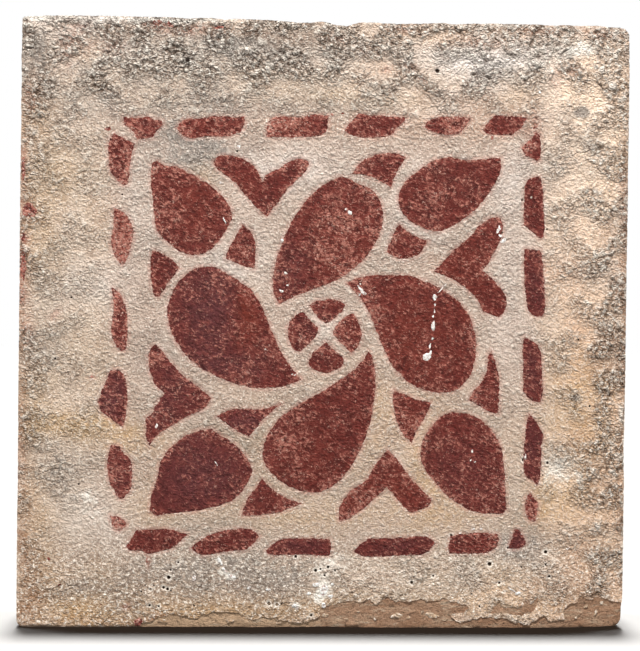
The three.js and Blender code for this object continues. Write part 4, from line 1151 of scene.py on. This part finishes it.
# Small pieces on the face: lime that bloomed out of the clay or was splashed on it, chips of the
# coat left in its losses, and specks of red slip that fell beside the stencil. Each is written
# as its middle x and z, its half length and half width, and its turn in degrees.
SPOT_STEP = 0.34
SPOT_RIM_CLEAR = 0.14
LIME_FLECKS = [
    (36, 109.5, 0.9, 0.65, 80), (36, 107, 0.5, 0.35, 90), (35.8, 105, 0.6, 0.3, 80),
    (35.7, 103, 0.4, 0.25, 90), (35.6, 100, 1.6, 0.55, 84), (35.4, 96, 0.4, 0.25, 90),
    (34.9, 93.5, 0.9, 0.35, 70), (33.7, 89.8, 1.5, 1.1, 60), (34.8, 91.2, 0.9, 0.5, 70),
    (38.4, 112.3, 2.0, 0.2, 42), (11.2, 112.3, 0.9, 0.3, -40), (12.2, 111, 1.2, 0.6, -60),
    (12.9, 110.3, 0.6, 0.4, 20), (11.3, 110.2, 0.5, 0.3, 60), (11.5, 113.6, 0.3, 0.25, 0),
    (-13.2, 116.7, 0.65, 0.6, 0), (-14.6, 111, 0.7, 0.4, -40), (-12.5, 113, 0.4, 0.3, 0),
    (6.3, 138.4, 0.35, 0.3, 0), (7.8, 136.9, 0.8, 0.4, -50), (-14.6, 127.3, 0.6, 0.35, 60),
    (-10.7, 83.5, 0.35, 0.3, 0), (-9.5, 83.2, 0.3, 0.25, 0), (-19.4, 92, 0.4, 0.3, 0),
    (49, 58.7, 0.4, 0.4, 0), (48.6, 55.8, 0.35, 0.2, 30), (50, 55, 0.3, 0.2, 0),
    (-35.1, 54, 0.8, 0.18, -62), (-55, 66.2, 0.75, 0.4, 80), (-33.3, 133.9, 1.2, 0.2, -66),
    (56.8, 132.1, 1.5, 0.6, 70), (57.5, 130.1, 0.7, 0.4, -20), (58.5, 128.5, 1.0, 0.6, 30),
    (-34.8, 146.3, 0.5, 0.4, 0), (-29, 158, 0.8, 0.5, 20), (49.5, 32.9, 0.8, 0.3, 10),
    (52.4, 33.0, 0.6, 0.3, -20), (66.6, 57, 0.8, 0.35, 80), (0.6, 12.6, 2.0, 1.2, 60),
    (-1.7, 14.4, 1.1, 0.7, 30), (2.8, 10.6, 0.9, 0.6, 0), (0.6, 7.4, 1.0, 0.7, 90),
    (-8.9, 7.4, 0.9, 0.6, 20), (-7.8, 6.4, 0.5, 0.35, -20), (3.4, 14.6, 0.6, 0.5, 0),
    (-33.6, 22, 1.5, 0.4, -62), (-32, 19, 1.2, 0.4, -50), (-29.6, 17, 1.4, 0.5, -25),
    (-42, 16.4, 0.9, 0.5, 80), (64.8, 11.8, 0.8, 0.5, 0), (63, 12.8, 1.8, 0.2, -32),
    (81.3, 26.7, 0.6, 0.35, 0), (70, 177.5, 0.5, 0.4, 0), (45.4, 31.6, 0.5, 0.3, 0),
    (-17.8, 12.6, 0.7, 0.5, 10), (-24.2, 13.4, 0.6, 0.4, 50), (-4.2, 11.6, 0.8, 0.5, 30),
]
COAT_CHIPS = [
    (24.7, 4.1, 1.9, 0.8, 5), (36.6, 4.2, 2.0, 0.8, -8), (1, 4.3, 1.0, 0.6, 0),
    (77.1, 5, 1.6, 1.3, 40), (12, 5.2, 0.6, 0.3, 10), (45, 3.4, 0.9, 0.4, 0),
    (84.5, 4, 0.7, 0.5, 30), (-30, 2.4, 1.3, 0.4, 0), (-52, 2.2, 1.6, 0.4, 3),
    (66, 3.6, 0.7, 0.4, -20), (17.5, 3, 0.6, 0.3, 0), (91, 5.4, 0.8, 0.5, 60),
    (28.4, 3.6, 0.6, 0.4, 0), (33.2, 5.4, 0.5, 0.3, 40), (8.2, 3.2, 0.7, 0.3, 0),
    (40.8, 3, 0.8, 0.3, 5), (93, 8.6, 0.7, 0.6, 0), (87.6, 7.4, 0.8, 0.5, 30),
    (96.5, 5, 0.6, 0.7, 0), (-14, 1.8, 1.0, 0.3, 0),
]
RED_SPECKS = [
    (-71.8, 163.2, 1.1, 0.5, 12), (1.5, 168.9, 0.6, 0.35, 0), (5.0, 169.6, 0.5, 0.3, 20),
    (54.5, 162.4, 0.8, 0.5, 90), (68.6, 165.8, 0.9, 0.4, 30), (-57.5, 22.4, 0.3, 1.3, 0),
    (-89.5, 22.5, 0.5, 0.3, 0), (-86, 14, 0.5, 0.3, 30), (-72.5, 7.5, 0.4, 0.3, 0),
    (-60.2, 1.9, 1.5, 1.2, 20), (-96.7, 136, 2.5, 2.4, 0), (-98.6, 118, 1.0, 4.6, 0),
    (-98.7, 127.4, 0.8, 1.2, 0), (-76, 82.2, 0.6, 0.5, 0), (-98.9, 150, 0.6, 4.0, 0),
    (-56, 198.2, 1.6, 0.6, 10), (-51.8, 197.4, 1.2, 0.6, -30), (-36, 196.8, 1.8, 0.5, 0),
]


def small_skins(name, spots, seed, depth_of, swell, key):
    """Ragged little skins on the face, each swelling towards its middle, as one piece."""
    vertices, faces, first = [], [], 0
    for spot_x, spot_z, half_length, half_width, turn in spots:
        corners = 10 + int(14 * max(half_length, half_width))
        around = np.linspace(0, 2 * math.pi, corners, endpoint=False)
        oval = np.stack([half_length * np.cos(around), half_width * np.sin(around)], 1)
        c, s = math.cos(math.radians(turn)), math.sin(math.radians(turn))
        loop = ragged(oval @ np.array([[c, s], [-s, c]]) + (spot_x, spot_z), 0.45, seed)
        loop = ragged(loop, 0.2, seed + 5, 2.2)
        rim_width = 0.6 * min(half_length, half_width)
        spot_vertices, spot_faces, *_ = skin(
            loop, SPOT_STEP, seed + 4, SPOT_RIM_CLEAR, depth_of, swell, rim_width, key
        )
        vertices.append(spot_vertices)
        faces += [part + first for part in spot_faces]
        first += len(spot_vertices)
    piece, _ = closed_mesh(name, np.vstack(vertices), faces)
    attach(piece, "root")
    return piece


lime_flecks = small_skins(
    "lime_flecks", LIME_FLECKS, 101, lambda x, z: coat_depth(x, z) - 0.06, 0.12, 0.3
)
coat_chips = small_skins(
    "coat_chips", COAT_CHIPS, 106, lambda x, z: coat_depth(x, z) + 0.25, 0.16, 0.6
)
for name, number in (("rust", 0.3), ("ochre", 0.6), ("specked", 1), ("from_red", 9)):
    mark(coat_chips, name, number)
coat_chips.data.materials.append(slip_coat)
red_specks = small_skins("red_specks", RED_SPECKS, 111, coat_depth, 0.06, 0.3)
mark(red_specks, "worn", 0.5)
mark(red_specks, "from_rim", 0.7)
red_specks.data.materials.append(red_slip)

# The lime is chalk-white and dry, a little brown where dirt has caught in it.
LIME_CHALK = "#fbf8f2"
LIME_DUSTY = "#c0a398"
white_lime, tree, place = new_material("bloomed_lime")
grain = add_node(tree, "ShaderNodeTexNoise", (place, 1 / (0.8 * MM), 3, 0.7))
colour = layered(tree, LIME_DUSTY, [(grain, (0.38, 0.52), LIME_CHALK)])
end_matt(tree, colour, grain, 1.2, 0.85, 0.2)
lime_flecks.data.materials.append(white_lime)

# Floor: a white sheet that the tile stands on. To the camera it is white; the light that it
# throws back on the tile is that of a grey sheet, so the face keeps its relief.
FLOOR_REACH = 3.0
PAPER_WHITE = "#fbf9f6"
PAPER_GREY = "#8c8984"
floor_mesh = bpy.data.meshes.new("floor")
corners = [(x * FLOOR_REACH, y * FLOOR_REACH, 0) for x, y in ((-1, -1), (1, -1), (1, 1), (-1, 1))]
floor_mesh.from_pydata(corners, [], [(0, 1, 2, 3)])
floor = bpy.data.objects.new("floor", floor_mesh)
bpy.context.scene.collection.objects.link(floor)


def seen_as_backdrop(tree):
    """1 for what the camera sees, straight, in a gloss or through glass, and 0 for other light."""
    seen = 0
    for ray in ("Is Camera Ray", "Is Glossy Ray", "Is Transmission Ray"):
        by_ray = add_node(tree, "ShaderNodeLightPath", out=ray)
        seen = add_node(tree, "ShaderNodeMath", (seen, by_ray), operation="MAXIMUM")
    return seen


white_sheet, tree, _ = new_material("white_paper")
colour = layered(tree, PAPER_GREY, [(seen_as_backdrop(tree), (0, 1), PAPER_WHITE)])
shader = add_node(tree, "ShaderNodeBsdfDiffuse", (colour,))
add_node(tree, "ShaderNodeOutputMaterial", (shader,))
floor.data.materials.append(white_sheet)

# Studio: a white surround, weak as a light, and lamps of soft light. The tile and the floor
# each have lamps of their own, so the floor stays white while the face isn't washed out.
AMBIENT = 0.035
WARM_BOUNCE = "#f2cdb4"
PLAIN_WHITE = "#ffffff"
AIMED_AT = Vector((0, 0, 0.1))
SUN_WIDTH = math.radians(4.5)
SUN_LEAN = math.radians(-3.9)
world = bpy.data.worlds.new("studio")
bpy.context.scene.world = world
world.use_nodes = True
tree = world.node_tree
tree.nodes.clear()
seen = seen_as_backdrop(tree)
strength = add_node(tree, "ShaderNodeMapRange", (seen, 0, 1, AMBIENT, 1))
tint = layered(tree, WARM_BOUNCE, [(seen, (0, 1), PLAIN_WHITE)])
surround = add_node(tree, "ShaderNodeBackground", (tint, strength))
add_node(tree, "ShaderNodeOutputWorld", (surround,))

lit_by_softboxes = bpy.data.collections.new("lit_by_softboxes")
tile_pieces = [clay_body, clay_grit, ground_coat, slip_grit, coat_chips, lime_flecks]
for piece in (*tile_pieces, *red_patches, red_grit, red_specks):
    lit_by_softboxes.objects.link(piece)
    piece.visible_diffuse = False
lit_by_sun = bpy.data.collections.new("lit_by_sun")
lit_by_sun.objects.link(floor)
# Each softbox is written as its name, where it stands, its two sides, in metres, and its watts.
SOFTBOXES = [
    ("key", (-0.1, -0.62, 1.3), (0.4, 0.25), 35),
    ("front_fill", (0.15, -1.5, 0.35), (0.9, 0.9), 11),
    ("back_fill", (0.3, 1.4, 0.9), (0.9, 0.9), 24),
    ("left_fill", (-1.5, 0.2, 0.5), (0.8, 0.8), 12),
    ("right_fill", (1.5, 0.2, 0.5), (0.8, 0.8), 12),
]
for name, stand, size, power in SOFTBOXES:
    lamp_data = bpy.data.lights.new(name, "AREA")
    lamp_data.shape = "RECTANGLE"
    lamp_data.size, lamp_data.size_y = size
    lamp_data.energy = power
    lamp = bpy.data.objects.new(name, lamp_data)
    bpy.context.scene.collection.objects.link(lamp)
    lamp.location = stand
    lamp.rotation_euler = (AIMED_AT - lamp.location).to_track_quat("-Z", "Y").to_euler()
    lamp.light_linking.receiver_collection = lit_by_softboxes
# Each sun is written as its turn to the side, in degrees, and its strength.
SUNS = [(-9, 0.25), (0, 2.95), (9, 0.25)]
for turn, energy in SUNS:
    sun_data = bpy.data.lights.new("overhead", "SUN")
    sun_data.angle = SUN_WIDTH
    sun_data.energy = energy
    sun = bpy.data.objects.new("overhead", sun_data)
    bpy.context.scene.collection.objects.link(sun)
    sun.rotation_euler = (SUN_LEAN, math.radians(turn), 0)
    sun.light_linking.receiver_collection = lit_by_sun
bpy.context.scene.view_settings.view_transform = "Standard"
